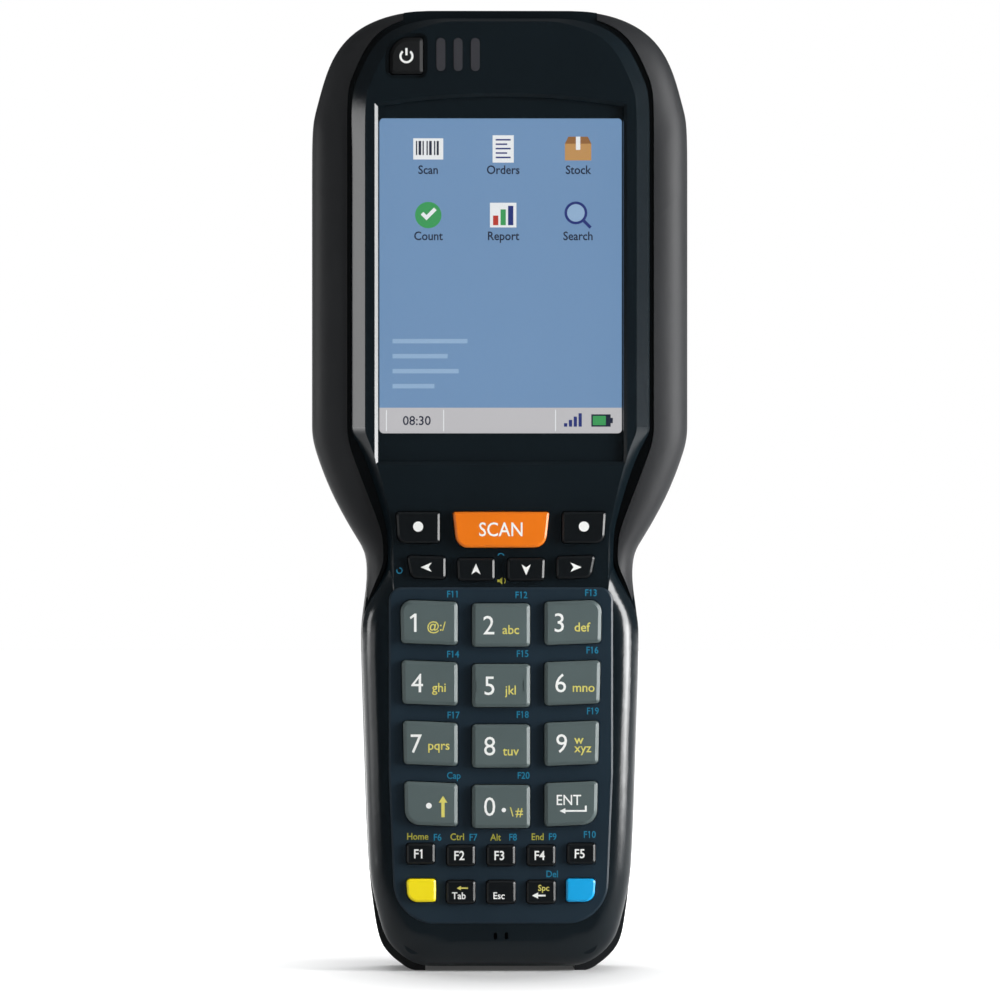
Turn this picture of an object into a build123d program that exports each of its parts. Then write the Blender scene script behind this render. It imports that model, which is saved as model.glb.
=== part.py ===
from build123d import *
from math import cos, radians, sin
import os

# A hand-held barcode data terminal: a wide display head over a narrow keypad grip.
# Units are millimetres. X runs across, Y from the front (minus) to the back, Z along the length.
# The origin is under the middle of the terminal, at the two rails that it stands on.

# ---------------------------------------------------------------- overall sizes
length = 218.0
head_width = 85.2
neck_width = 60.2
grip_width = 62.8
rail_width = 38.8
head_depth = 41.0
grip_depth = 35.8

# ---------------------------------------------------------------- heights along the length
shoulder_z = 123.5
neck_z = 90.0
waist_z = 95.5
belly_z = 76.0
grip_low_z = 24.0

# ---------------------------------------------------------------- walls and clearances
face_wall = 1.8
window_wall = 0.8
side_wall = 1.4
rear_wall = 2.0
fit_gap = 0.05
part_gap = 0.1
slide_gap = 0.2

# ---------------------------------------------------------------- front cover
cover_depth = 8.5
cover_round = 6.0
roll_steps = 4
ridge_width = 3.0
ridge_depth = 3.2
ridge_top_width = 0.8
cover_half = 33.8
cover_top_drop = 1.8
waist_half = 25.6
heel_strip = 1.5
flange_thick = 2.0

# ---------------------------------------------------------------- bumpers
bumper_thick = 3.0
bumper_roll_width = 8.6
bumper_roll_depth = 6.0
bumper_neck_share = 0.5
bumper_lip_drop = 3.0
seam_gap = 1.0
seam_out = 4.0
seam_run = 10.0
bumper_back_y = 9.0
bumper_end_x = 22.0
bumper_tail_z = 81.0

# ---------------------------------------------------------------- rear housing
back_round = 5.0
round_split_z = 60.0
core_head = 5.2
core_neck = 4.9
core_grip = 2.2
core_low = 3.4
seal_thick_y = 0.8
rail_rise = 1.1
rail_tip = 2.4
grip_slope_z = 94.0
head_slope_z = 116.0

# ---------------------------------------------------------------- display
display_width = 55.0
display_height = 71.4
display_top_drop = 24.5
display_corner = 1.0
recess_depth = 1.5
recess_side = 1.1
recess_arch = 5.7
recess_shoulder = 3.4
recess_sill = 7.2
recess_bevel = 0.75
recess_bevel_depth = 0.55
recess_draft = 0.1
glass_thick = 1.2
glass_margin = 2.3
seal_thick = 0.4
module_thick = 3.6
module_width = 60.0
module_top = 5.0
module_low = 3.4
module_bezel = 0.3

# ---------------------------------------------------------------- keypad
key_rise = 2.0
small_rise = 1.5
home_rise = 0.15
key_travel = 0.8
key_gap = 0.2
key_edge = 0.75
small_edge = 0.45
edge_slope = 0.7
flange_reach = 0.5
flange_plate = 0.7
stem_radius = 1.2
panel_thick = 1.75
panel_proud = 0.25
panel_edge = 0.4
panel_half = 25.4
panel_low_half = 24.0
panel_top_z = 87.2
panel_low_z = 11.0
ledge_width = 1.8
ledge_outside = 0.8
ledge_thick = 1.3
number_columns = 16.4
number_rows = 13.7
number_top_z = 79.3
number_width = 13.1
number_height = 9.75
number_outer = 22.7
number_outer_slope = 0.022
row_tilt = 0.25
middle_drop = 0.6
small_pitch = 9.1
function_z = 26.5
function_width = 6.3
function_height = 4.6
command_z = 18.2
command_width = 6.5
command_height = 5.2
arrow_z = 91.8
arrow_height = 5.0
scan_z = 100.3
scan_height = 8.0
scan_half = 10.9
scan_low_half = 10.0
soft_half_width = 4.9
soft_height = 7.0
soft_x = 18.8
power_x = -21.4
power_drop = 10.4
power_width = 7.5
power_height = 8.2
power_pocket = 1.0
power_pocket_depth = 0.9
power_rise = 0.2
mat_thick = 0.8
mat_rim = 0.6
mat_gap = 0.3
board_thick = 1.2
dome_radius = 2.2
dome_height = 0.35
pad_half = 24.1
pad_low_z = 10.4
pad_top_z = 107.4

# ---------------------------------------------------------------- status lights and microphone
light_xs = (-13.6, -9.7, -5.8)
light_drop = 10.1
light_width = 2.0
light_height = 7.5
mic_slot_x = 1.25
mic_slot_width = 0.8
mic_slot_height = 1.6
mic_z = 8.2

# ---------------------------------------------------------------- inner frame and boards
chassis_thick = 1.0
standoff = 1.0
lug_half = 2.7
board_half = 24.0
board_top_drop = 7.4
board_low_z = 115.5
board_notch = 2.4
board_hole_x = 21.4
board_hole_low = 5.5
board_hole_high = 73.0
lug_post = 2.2
flex_width = 14.0
flex_thick = 0.3
flex_low_z = 101.0
flex_bend_low = 108.6
flex_bend_high = 112.0
flex_overlap = 4.0
# Parts on the back of the main board, as (left, right, low, high, height).
board_blocks = [(-12, 12, 146, 170, 1.8), (-21, -14, 150, 162, 1.2), (10, 19, 122, 128, 3.0)]
# The backup cell on the main board, as (x, z, radius, height).
backup_cell = (18, 142, 6.2, 2.4)
# The radio card on the main board, as (left, right, low, high, height).
radio_block = (-15, 9, 176, 192, 2.4)

# ---------------------------------------------------------------- screws
screw_radius = 1.25
screw_head_radius = 2.3
screw_head = 1.6
screw_seat_y = 8.0
screw_tip_y = -14.0
boss_radius = 2.4
top_boss = (27.4, 16.0)
mid_boss = (23.4, 111.0)
low_boss = (19.5, 6.4)
small_screw_radius = 1.0
small_head_radius = 1.8
small_head = 1.1

# ---------------------------------------------------------------- battery
cell_diameter = 18.4
cell_length = 65.0
cell_gap = 0.25
battery_half = 25.4
battery_low_z = 9.2
battery_height = 76.6
battery_skin = 1.1
bay_floor = 1.6
groove_depth = 0.5
groove_pitch = 5.0

# ---------------------------------------------------------------- battery latch
latch_half = 9.0
latch_height = 8.4
latch_travel = 3.0
latch_ear = 2.4
latch_plate = 1.4
hook_half = 4.0
hook_drop = 3.4
spring_radius = 1.3
spring_wire = 0.22

# ---------------------------------------------------------------- scanner, speaker, connector, strap
window_half = 15.5
window_depth = 14.0
window_thick = 1.6
window_sink = 1.6
window_y = 5.0
engine_half = 10.8
engine_depth = 12.0
engine_height = 15.0
speaker_radius = 8.0
speaker_thick = 4.0
speaker_x = 23.5
speaker_drop = 40.0
dock_half = 10.5
dock_depth = 6.0
dock_height = 6.5
dock_pads = 8
insert_x = 15.0
insert_z = 122.0
insert_bore = 1.25
insert_radius = 2.1
insert_length = 5.0
label_width = 46.0
label_height = 27.0
label_z = 152.0
label_sink = 0.3

# ---------------------------------------------------------------- worked out from the sizes above
head_half = head_width / 2
neck_half = neck_width / 2
grip_half = grip_width / 2
rail_half = rail_width / 2
y_key = home_rise - head_depth / 2
y_back = head_depth / 2
y_face = y_key + key_rise
y_part = y_face + cover_depth
y_grip_back = y_key + grip_depth
y_flange = y_part - flange_thick
y_lip = y_face + bumper_lip_drop
cover_top = length - cover_top_drop
display_top = length - display_top_drop
display_low = display_top - display_height
display_z = (display_top + display_low) / 2
display_half = display_width / 2
y_floor = y_face + recess_depth
y_window = y_floor + window_wall
y_glass = y_window + seal_thick
y_module = y_glass + glass_thick + part_gap
y_chassis = y_module + module_thick
y_main = y_chassis + chassis_thick + standoff
y_panel = y_face - panel_proud
y_panel_back = y_panel + panel_thick
y_inner = y_face + face_wall
y_key_flange = y_inner + key_gap
y_key_back = y_key_flange + flange_plate
y_mat = y_key_back + key_travel + mat_gap
y_ledge = y_panel_back + ledge_thick
y_board = y_mat + mat_thick + dome_height + key_travel + 0.1
y_dome = y_board - dome_height
y_stem = y_dome - key_travel - fit_gap
y_bay = y_grip_back - cell_diameter - 2 * battery_skin
corner_height = 40.0
crown_flat = 11.0
cover_corner_height = 26.0
low_half = grip_half - 1.7
heel_half = grip_half - 3.1
power_z = length - power_drop
light_z = length - light_drop

# The crown's fall from the straight side and from the top, as (inwards, down) pairs.
crown_fall = [(20.5, 0.5), (10.2, 4.5), (4.5, 11.3), (1.4, 20.4)]
cover_fall = [(15.8, 0.6), (6.2, 5.2), (1.6, 13.2)]
# The shoulder's way from the neck to the head, as (share of width, share of height) pairs.
body_shoulder = [(0.88, 0.776), (0.584, 0.507), (0.176, 0.236)]
cover_shoulder = [(0.88, 0.896), (0.207, 0.375), (0.037, 0.175)]
seam_shoulder = [(0.80, 0.75), (0.33, 0.407), (0.085, 0.217)]


# ---------------------------------------------------------------- helpers
def slab(face, y_from, y_to):
    """A prism of a face drawn in X and Z, from one depth to another."""
    return extrude(Plane.XZ.offset(-y_from) * face, amount=y_to - y_from, dir=(0, 1, 0))


def block(x0, x1, y0, y1, z0, z1):
    """A box between two corners."""
    return Pos((x0 + x1) / 2, (y0 + y1) / 2, (z0 + z1) / 2) * Box(x1 - x0, y1 - y0, z1 - z0)


def rod(x, z, radius, y_from, y_to):
    """A round bar along Y."""
    middle = (y_from + y_to) / 2
    return Pos(x, middle, z) * Rot(90, 0, 0) * Cylinder(radius, y_to - y_from)


def closed(right_edges):
    """A face from the edges of its right half."""
    right = Curve() + right_edges
    return make_face(right + mirror(right, about=Plane.YZ))


def across(face):
    """A face drawn in Y and Z, extruded right across the body."""
    return extrude(Plane.YZ.offset(-head_width) * face, amount=2 * head_width, dir=(1, 0, 0))


def rounded(points, radii):
    """A closed face with its corners rounded."""
    return make_face(FilletPolyline(*points, radius=radii, close=True))


def front_edges(solid, y, z_above):
    """The edges of a solid's front face that lie above a height."""
    flat = solid.edges().filter_by(lambda e: abs(e.center().Y - y) < 0.01)
    return flat.filter_by(lambda e: e.center().Z > z_above)


def bevelled(solid, width, depth):
    """A solid whose front face has a bevel round it, measured across and back."""
    face = solid.faces().sort_by(Axis.Y)[0]
    return chamfer(face.edges(), width, depth, reference=face)


def mirrored(solid):
    """A solid and its mirror image across the middle."""
    return solid + mirror(solid, about=Plane.YZ)


# ---------------------------------------------------------------- outlines in X and Z
def head_edges(half, top, fall, height, waist, low_z, shoulder):
    """The right half of an outline, from the top centre down to its narrowest point."""
    side_z = top - height
    corner = [(half - x, top - z) for x, z in fall]
    flat = Line((0, top), (crown_flat, top))
    crown = Spline((crown_flat, top), *corner, (half, side_z), tangents=[(1, 0), (0, -1)])
    side = Line((half, side_z), (half, shoulder_z))
    span = half - waist
    rise = shoulder_z - low_z
    flank_points = [(waist + a * span, low_z + b * rise) for a, b in shoulder]
    flank = Spline((half, shoulder_z), *flank_points, (waist, low_z), tangents=[(0, -1), (0, -1)])
    return [flat, crown, side, flank]


def grip_edge(inset):
    """The grip's side, between the belly and the low end."""
    belly = (grip_half - inset, belly_z)
    middle = (grip_half - 0.6 - inset, 52.6)
    low = (low_half - inset, grip_low_z)
    return Spline(belly, middle, low, tangents=[(0, -1), (-0.07, -1)])


def body_outline(inset_head, inset_neck, inset_grip, bottom):
    """The terminal's outline, drawn in by its own amount at the head, neck and grip."""
    waist = neck_half - inset_neck
    edges = head_edges(head_half - inset_head, length - inset_head, crown_fall, corner_height,
                       waist, neck_z, body_shoulder)
    belly = (grip_half - inset_grip, belly_z)
    neck = Spline((waist, neck_z), belly, tangents=[(0, -1), (0, -1)])
    low = (low_half - inset_grip, grip_low_z)
    heel = Spline(
        low,
        (heel_half - inset_grip, 11.8 + bottom * 0.2),
        (heel_half - 1.9 - inset_grip, 5.4 + bottom * 0.6),
        (heel_half - 6.0 - inset_grip, 1.4 + bottom * 0.9),
        (rail_half - inset_grip, bottom),
        tangents=[(-0.07, -1), (-1, -0.2)],
    )
    sole = Line((rail_half - inset_grip, bottom), (0, bottom))
    return closed(edges + [neck, grip_edge(inset_grip), heel, sole])


def cover_outline(inset):
    """The front cover: narrow beside the display, full width on the grip."""
    waist = waist_half - inset
    edges = head_edges(cover_half - inset, cover_top - inset, cover_fall, cover_corner_height,
                       waist, waist_z, cover_shoulder)
    tail = Spline(
        (waist, waist_z),
        (waist + 1.1, waist_z - 5.3),
        (grip_half - 1.5 - inset, belly_z + 7.6),
        (grip_half - inset, belly_z),
        tangents=[(0, -1), (0, -1)],
    )
    foot_half = heel_half - heel_strip - inset
    sole_half = rail_half - 3.4 - inset
    heel = Spline(
        (low_half - inset, grip_low_z),
        (heel_half - 0.7 - inset, 12.4),
        (foot_half - 1.5, 6.4 + inset / 2),
        (foot_half - 5.6, 2.6 + inset),
        (sole_half, rail_rise + inset),
        tangents=[(-0.07, -1), (-1, -0.05)],
    )
    sole = Line((sole_half, rail_rise + inset), (0, rail_rise + inset))
    return closed(edges + [tail, grip_edge(inset), heel, sole])


def plate_outline(half, top, waist, low_z):
    """The raised plate round the display, down to where it sinks into the grip."""
    edges = head_edges(half, top, cover_fall, cover_corner_height, waist, waist_z, cover_shoulder)
    throat = Line((waist, waist_z), (waist - 0.2, low_z))
    base = Line((waist - 0.2, low_z), (0, low_z))
    return closed(edges + [throat, base])


def seam_outline(gap):
    """The line where the bumpers' front lips end, running out past the grip's sides."""
    waist = waist_half + seam_gap - gap
    edges = head_edges(cover_half + seam_gap - gap, cover_top + seam_gap - gap, cover_fall,
                       cover_corner_height, waist, waist_z - 1.5, seam_shoulder)
    low = belly_z - seam_run
    tail = Spline(
        (waist, waist_z - 1.5),
        (waist + 1.0, waist_z - 5.3),
        (grip_half - 1.2 - gap, belly_z + 7.6),
        (grip_half + seam_out, low),
        tangents=[(0, -1), (0.4, -1)],
    )
    return closed(edges + [tail, Line((grip_half + seam_out, low), (0, low))])


def core_outline(grow):
    """The hollow inside the shells, and the gasket line when it is grown."""
    return body_outline(core_head - grow, core_neck - grow, core_grip - grow, core_low - grow)


silhouette = body_outline(0, 0, 0, 0)
core = core_outline(0)


# ---------------------------------------------------------------- body blanks
def side_profile(shift):
    """Everything in front of the back surface, moved forward by a wall."""
    grip_y = y_grip_back - shift
    back_y = y_back - shift
    slope = Spline((grip_y, grip_slope_z), (back_y, head_slope_z), tangents=[(0, 1), (0, 1)])
    rest = Polyline(
        (back_y, head_slope_z),
        (back_y, length + 1),
        (y_key - 1, length + 1),
        (y_key - 1, -1),
        (grip_y, -1),
        (grip_y, grip_slope_z),
    )
    return across(make_face(Curve() + [slope, rest]))


def rear_blank():
    """The solid that the rear housing and the battery are cut from, with its back edges rounded."""
    blank = slab(silhouette, y_part, y_back) & side_profile(0)
    flat_lines = (grip_slope_z, head_slope_z, round_split_z)
    halves = []
    for low, high in ((-1, round_split_z), (round_split_z, length + 1)):
        half = blank & block(-head_width, head_width, y_part - 1, y_back + 1, low, high)
        back = half.edges().filter_by(lambda e: e.center().Y > y_grip_back - 0.5)
        loop = back.filter_by(lambda e: min(abs(e.center().Z - z) for z in flat_lines) > 0.1)
        halves.append(fillet(loop, back_round))
    return halves[0] + halves[1]


def bumper_envelope(y_front, y_rear):
    """Where rubber may be, seen from the side: a band that sweeps forward into the tail."""
    tail = Spline(
        (y_rear, shoulder_z + 2),
        (y_rear - 9, shoulder_z - 20),
        (y_front + 1.5, bumper_tail_z),
        tangents=[(0, -1), (-0.5, -1)],
    )
    rest = Polyline(
        (y_front + 1.5, bumper_tail_z),
        (y_front - 5, bumper_tail_z),
        (y_front - 5, length + 1),
        (y_rear, length + 1),
        (y_rear, shoulder_z + 2),
    )
    return across(make_face(Curve() + [tail, rest]))


def bumper_zone(gap):
    """The room that the right bumper fills, grown by a gap."""
    reach = head_half + 2
    zone = block(bumper_end_x - gap, reach, y_lip - 3, bumper_back_y + gap, bumper_tail_z - 2, length + 2)
    zone = zone - slab(seam_outline(gap), y_lip - 4, y_back)
    inset = bumper_thick + gap
    zone = zone - slab(body_outline(inset, inset, inset, inset), y_flange - gap, y_back)
    return zone & bumper_envelope(y_lip, bumper_back_y + gap)


rear_body = rear_blank()
rubber_room = mirrored(bumper_zone(fit_gap))


# ---------------------------------------------------------------- keys
def key_quad(inner, outer_low, outer_high, low, high, tilt):
    """Four corners of a key on the right side, anticlockwise from the inner low one."""
    return [
        (inner, low - tilt),
        (outer_low, low + tilt),
        (outer_high, high + tilt),
        (inner, high - tilt),
    ]


def flip(points):
    """The same corners on the left side."""
    return [(-x, z) for x, z in points]


def number_keys():
    """Twelve grey keys in three columns; the outer edges follow the grip's taper."""
    names = ["1", "2", "3", "4", "5", "6", "7", "8", "9", "shift", "0", "enter"]
    keys = {}
    for place, name in enumerate(names):
        row = place // 3
        column = place % 3 - 1
        z = number_top_z - row * number_rows
        low = z - number_height / 2
        high = z + number_height / 2
        inner = number_columns - number_width / 2
        if column == 0:
            half = number_width / 2
            drop = middle_drop
            points = [(-half, low - drop), (half, low - drop), (half, high - drop), (-half, high - drop)]
            keys["key_" + name] = (points, [0.9] * 4, key_rise)
            continue
        outer_low = number_outer - number_outer_slope * (number_top_z - low)
        outer_high = number_outer - number_outer_slope * (number_top_z - high)
        points = key_quad(inner, outer_low, outer_high, low, high, row_tilt)
        radii = [0.9, 3.4 if row == 3 else 0.9, 2.6 if row == 0 else 0.9, 0.9]
        keys["key_" + name] = (points if column > 0 else flip(points), radii, key_rise)
    return keys


def small_keys():
    """Two rows of five small keys under the numbers."""
    keys = {}
    for place in range(5):
        x = (place - 2) * small_pitch
        lift = 0.4 if place in (0, 4) else 0.0
        side = -1 if place < 2 else 1
        half = function_width / 2
        low = function_z - function_height / 2 + lift
        high = function_z + function_height / 2 + lift
        points = [(x - half, low), (x + half, low), (x + half, high), (x - half, high)]
        keys["key_f" + str(place + 1)] = (points, [0.6] * 4, small_rise)
        name = ("yellow", "tab", "escape", "backspace", "blue")[place]
        low = command_z - command_height / 2 + lift
        high = command_z + command_height / 2 + lift
        end = place in (0, 4)
        half = command_width / 2
        slant = 0.35 if end else 0.0
        centre = abs(x)
        points = key_quad(centre - half - slant / 2, centre + half - slant, centre + half, low, high, 0.0)
        radii = [0.7, 2.3 if end else 0.7, 0.9 if end else 0.7, 0.7]
        keys["key_" + name] = (flip(points) if side < 0 else points, radii, small_rise)
    return keys


def upper_keys():
    """The scan key, the two soft keys and the four arrows, set in the front cover."""
    keys = {}
    low = scan_z - scan_height / 2
    high = scan_z + scan_height / 2
    points = [(-scan_low_half, low), (scan_low_half, low), (scan_half, high), (-scan_half, high)]
    keys["key_scan"] = (points, [2.8, 2.8, 0.5, 0.5], key_rise)
    low = scan_z + scan_height / 2 - soft_height
    inner = soft_x - soft_half_width
    outer = soft_x + soft_half_width
    points = key_quad(inner, outer - 0.4, outer, low, high, 0.0)
    keys["key_soft_right"] = (points, [0.7, 2.0, 0.7, 0.7], small_rise)
    keys["key_soft_left"] = (flip(points), [0.7, 2.0, 0.7, 0.7], small_rise)
    low = arrow_z - arrow_height / 2
    high = arrow_z + arrow_height / 2
    points = key_quad(12.6, 20.3, 21.3, low, high, 0.15)
    keys["key_right"] = (points, [0.7, 1.6, 0.7, 0.7], small_rise)
    keys["key_left"] = (flip(points), [0.7, 1.6, 0.7, 0.7], small_rise)
    points = key_quad(1.5, 9.7, 9.9, low - 0.5, high - 0.5, 0.0)
    keys["key_down"] = (points, [0.7] * 4, small_rise)
    keys["key_up"] = (flip(points), [0.7] * 4, small_rise)
    return keys


def power_key():
    """The power key, with the corner towards the head's corner swept round."""
    x0 = power_x - power_width / 2
    x1 = power_x + power_width / 2
    z0 = power_z - power_height / 2
    z1 = power_z + power_height / 2
    points = [(x0, z0), (x1, z0), (x1, z1), (x0, z1)]
    return {"key_power": (points, [0.8, 0.8, 0.8, 4.4], power_rise)}


panel_keys = {**number_keys(), **small_keys()}
cover_keys = {**upper_keys(), **power_key()}
all_keys = {**panel_keys, **cover_keys}


def key_centre(points):
    """The middle of a key, where its stem and dome are."""
    return sum(x for x, z in points) / 4, sum(z for x, z in points) / 4


def keycap(name):
    """One keycap: a tapered cap, the plate that holds it in, and its stem."""
    points, radii, rise = all_keys[name]
    shape = rounded(points, radii)
    x, z = key_centre(points)
    top = y_face - rise
    in_head = name == "key_power"
    y_plate = (y_window if in_head else y_inner) + key_gap
    edge = key_edge if min(radii) > key_edge else small_edge
    body = bevelled(slab(shape, top, y_plate + flange_plate), edge, edge * edge_slope)
    plate = slab(offset(shape, flange_reach), y_plate, y_plate + flange_plate)
    stem_end = y_power_stem if in_head else y_stem
    body = body + plate + rod(x, z, stem_radius, y_plate + flange_plate - 0.1, stem_end)
    if name == "key_5":
        for side in (-1, 1):
            mark = x + side * (number_width / 2 - 1.2)
            body = body + block(mark - 0.2, mark + 0.2, top - home_rise, top + 0.1, z - 1.2, z + 1.2)
    return body


y_power_dome = y_main - dome_height
y_power_stem = y_power_dome - key_travel - fit_gap


def key_holes(keys, y_from, y_to):
    """The openings that keys pass through."""
    return [slab(offset(rounded(p, r), key_gap), y_from, y_to) for p, r, rise in keys.values()]


# ---------------------------------------------------------------- keypad panel
def panel_face(grow):
    """The panel's outline, wider at the top, with large lower corners."""
    top = panel_top_z + grow
    low = panel_low_z - grow
    half = panel_half + grow
    low_side = panel_low_half + grow
    points = [(-low_side, low), (low_side, low), (half, 45), (half, top), (-half, top), (-half, 45)]
    return rounded(points, [9.5 + grow, 9.5 + grow, 40, 3 + grow, 3 + grow, 40])


def keypad_panel():
    """The slate-coloured plate that frames the number and function keys."""
    plate = bevelled(slab(panel_face(0), y_panel, y_panel_back), panel_edge, panel_proud)
    return plate - key_holes(panel_keys, y_panel - 1, y_panel_back + 1)


# ---------------------------------------------------------------- front cover
def rolled_front(wall, y, radius, top_z):
    """The cover's outline in from a wall, with a rolled front edge, up to a height."""
    sections = []
    for step in range(roll_steps + 1):
        turn = radians(90 * step / roll_steps)
        inset = wall + radius * (1 - cos(turn))
        depth = y + radius * (1 - sin(turn))
        sections.append(Plane.XZ.offset(-depth) * cover_outline(inset))
    solid = loft(sections) + slab(cover_outline(wall), y + radius, y_part)
    return solid & block(-head_width, head_width, y_key, y_back, -1, top_z)


def cover_blank():
    """The outside of the front cover: display plate, grip with rolled edges, and flange."""
    outer = plate_outline(cover_half, cover_top, waist_half, neck_z - 6)
    crest = plate_outline(cover_half - ridge_width, cover_top - ridge_top_width, waist_half - 1.2, neck_z - 6)
    ridge = loft([
        Plane.XZ.offset(-(y_face + ridge_depth)) * outer,
        Plane.XZ.offset(-y_face) * crest,
    ], ruled=True)
    plate = slab(outer, y_face + ridge_depth, y_part) + ridge
    grip = rolled_front(0, y_face, cover_round, neck_z + 8)
    upper_box = Pos(0, bumper_tail_z - 2 + length / 2) * Rectangle(head_width + 2, length)
    flange = slab(silhouette & upper_box, y_flange, y_part) - rubber_room
    return plate + grip + flange


def cover_cavity():
    """The hollow inside the front cover, in three steps of depth."""
    inside = cover_outline(side_wall)
    low = rolled_front(side_wall, y_inner, cover_round / 2, neck_z - 2)
    middle_cut = Pos(0, (neck_z - 6 + pad_top_z + 1) / 2)
    middle_cut = middle_cut * Rectangle(2 * (pad_half + 0.4), pad_top_z + 1 - neck_z + 6)
    middle = slab(inside & middle_cut, y_inner, y_part)
    high_cut = Pos(0, pad_top_z + 0.9 + length / 2) * Rectangle(head_width, length)
    high = slab(inside & high_cut, y_window, y_part)
    edges = front_edges(high, y_window, pad_top_z + 2)
    high = chamfer(edges, 0.5)
    return low + middle + high


def display_recess():
    """The shallow tray in front of the display: an arched top, and walls that slope and then drop."""
    def tray(grow):
        half = display_half + grow
        top = display_top + recess_shoulder + grow - recess_side
        low = display_low - recess_sill - grow + recess_side
        arch = ThreePointArc((half, top), (0, top + recess_arch - recess_shoulder), (-half, top))
        walls = Polyline((-half, top), (-half, low), (half, low), (half, top))
        return make_face(Curve() + [arch, walls])
    mouth = Plane.XZ.offset(-y_face) * tray(recess_side)
    step = Plane.XZ.offset(-(y_face + recess_bevel_depth)) * tray(recess_side - recess_bevel)
    floor = Plane.XZ.offset(-y_floor) * tray(recess_draft)
    window = rounded(
        [(-display_half, display_low), (display_half, display_low),
         (display_half, display_top), (-display_half, display_top)],
        [display_corner] * 4,
    )
    return loft([mouth, step, floor], ruled=True) + slab(window, y_floor - 0.1, y_window + 0.1)


def light_slot(x, grow, y_from, y_to):
    """A round-ended slot for one status light."""
    slot = Pos(x, light_z) * SlotOverall(light_height + 2 * grow, light_width + 2 * grow, rotation=90)
    return slab(slot, y_from, y_to)


def screw_places():
    """The six housing screws: four in the head, two in the foot."""
    top = (top_boss[0], length - top_boss[1])
    return [(side * x, z) for x, z in (top, mid_boss, low_boss) for side in (-1, 1)]


def front_cover():
    """The moulded front cover with its display window, key openings and bosses."""
    blank = cover_blank()
    cover = blank - cover_cavity()
    ring = slab(panel_face(ledge_outside), y_inner - 0.1, y_ledge)
    cover = cover + (ring & blank)
    for x, z in screw_places():
        end = y_chassis if z > neck_z else y_part
        cover = cover + (rod(x, z, boss_radius, y_inner - 0.2, end) & cover_room())
    cover = cover - slab(panel_face(fit_gap), y_face - 2, y_panel_back)
    cover = cover - slab(panel_face(-ledge_width), y_face - 2, y_part)
    cover = cover - display_recess()
    cover = cover - key_holes(cover_keys, y_face - 1, y_window + 0.5)
    pocket = offset(rounded(*power_key()["key_power"][:2]), power_pocket)
    cover = cover - slab(pocket, y_face - 1, y_face + power_pocket_depth)
    for x in light_xs:
        cover = cover - light_slot(x, fit_gap, y_face - 1, y_window + 1)
    for side in (-1, 1):
        slot = Pos(side * mic_slot_x, mic_z) * SlotOverall(mic_slot_height, mic_slot_width, rotation=90)
        cover = cover - slab(slot, y_face - 1, y_inner + 1)
    for x, z in screw_places():
        cover = cover - rod(x, z, screw_radius, screw_tip_y - 0.5, y_part + 1)
    return cover


def cover_room():
    """The cover's own outline, open towards the back, so that bosses stay inside its walls."""
    return slab(cover_outline(side_wall / 2), y_inner - 0.5, y_back)


# ---------------------------------------------------------------- bumpers and seal
def bumper_blank():
    """The outside of the bumpers: the silhouette with a wide, shallow roll at its front."""
    sections = []
    for step in range(roll_steps + 1):
        turn = radians(90 * step / roll_steps)
        inset = bumper_roll_width * (1 - cos(turn))
        narrow = inset * bumper_neck_share
        depth = y_lip + bumper_roll_depth * (1 - sin(turn))
        sections.append(Plane.XZ.offset(-depth) * body_outline(inset, narrow, narrow, narrow))
    return loft(sections) + slab(silhouette, y_lip + bumper_roll_depth, bumper_back_y)


def head_bumpers():
    """The two rubber corner guards with their tapering tails."""
    return bumper_blank() & mirrored(bumper_zone(0))


def seal_ring(grow):
    """The gasket line, just outside the hollow core."""
    return core_outline(1.2 + grow) - core_outline(0.5 - grow)


def housing_seal():
    """The gasket that closes the two shells on each other."""
    return slab(seal_ring(0), y_part, y_part + seal_thick_y)


# ---------------------------------------------------------------- display stack
def display_seal():
    """A foam frame between the cover and the touch panel."""
    outer = Pos(0, display_z) * Rectangle(display_width + 2 * glass_margin, display_height + 2 * glass_margin)
    inner = Pos(0, display_z) * Rectangle(display_width + 1.6, display_height + 1.6)
    return slab(outer - inner, y_window, y_glass)


def touch_panel():
    """The touch glass."""
    plate = Pos(0, display_z) * Rectangle(display_width + 2 * glass_margin, display_height + 2 * glass_margin)
    return slab(plate, y_glass, y_glass + glass_thick)


def display_module():
    """The display in its pressed metal frame."""
    outer = block(-module_width / 2, module_width / 2, y_module, y_chassis,
                  display_low - module_low, display_top + module_top)
    view = slab(Pos(0, display_z) * Rectangle(display_width, display_height), y_module, y_module + module_bezel)
    return outer - view


def chassis():
    """The pressed frame that carries the display and the main board."""
    top = display_top + module_top
    low = display_low - module_low
    plate = block(-module_width / 2, module_width / 2, y_chassis, y_chassis + chassis_thick, low, top)
    for x, z in screw_places()[:4]:
        inward = top - 1 if z > display_z else low + 1
        reach = block(x - lug_half, x + lug_half, y_chassis, y_chassis + chassis_thick,
                      min(z, inward), max(z, inward))
        plate = plate + reach + rod(x, z, lug_half, y_chassis, y_chassis + chassis_thick)
    for x, z in board_screw_places():
        plate = plate + rod(x, z, lug_post, y_chassis, y_main)
    for x, z in screw_places()[:4]:
        plate = plate - rod(x, z, screw_radius + part_gap, y_chassis - 1, y_main + 1)
    for x, z in board_screw_places():
        plate = plate - rod(x, z, small_screw_radius, y_chassis - 1, y_main + 1)
    return plate


# ---------------------------------------------------------------- keypad stack
def pad_face(inset):
    """The outline that the mat and the keypad board share."""
    half = pad_half - inset
    low = pad_low_z + inset
    top = pad_top_z - inset
    points = [(-half + 1.6, low), (half - 1.6, low), (half, 34), (half, top), (-half, top), (-half, 34)]
    return rounded(points, [5, 5, 30, 1.5, 1.5, 30])


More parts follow.
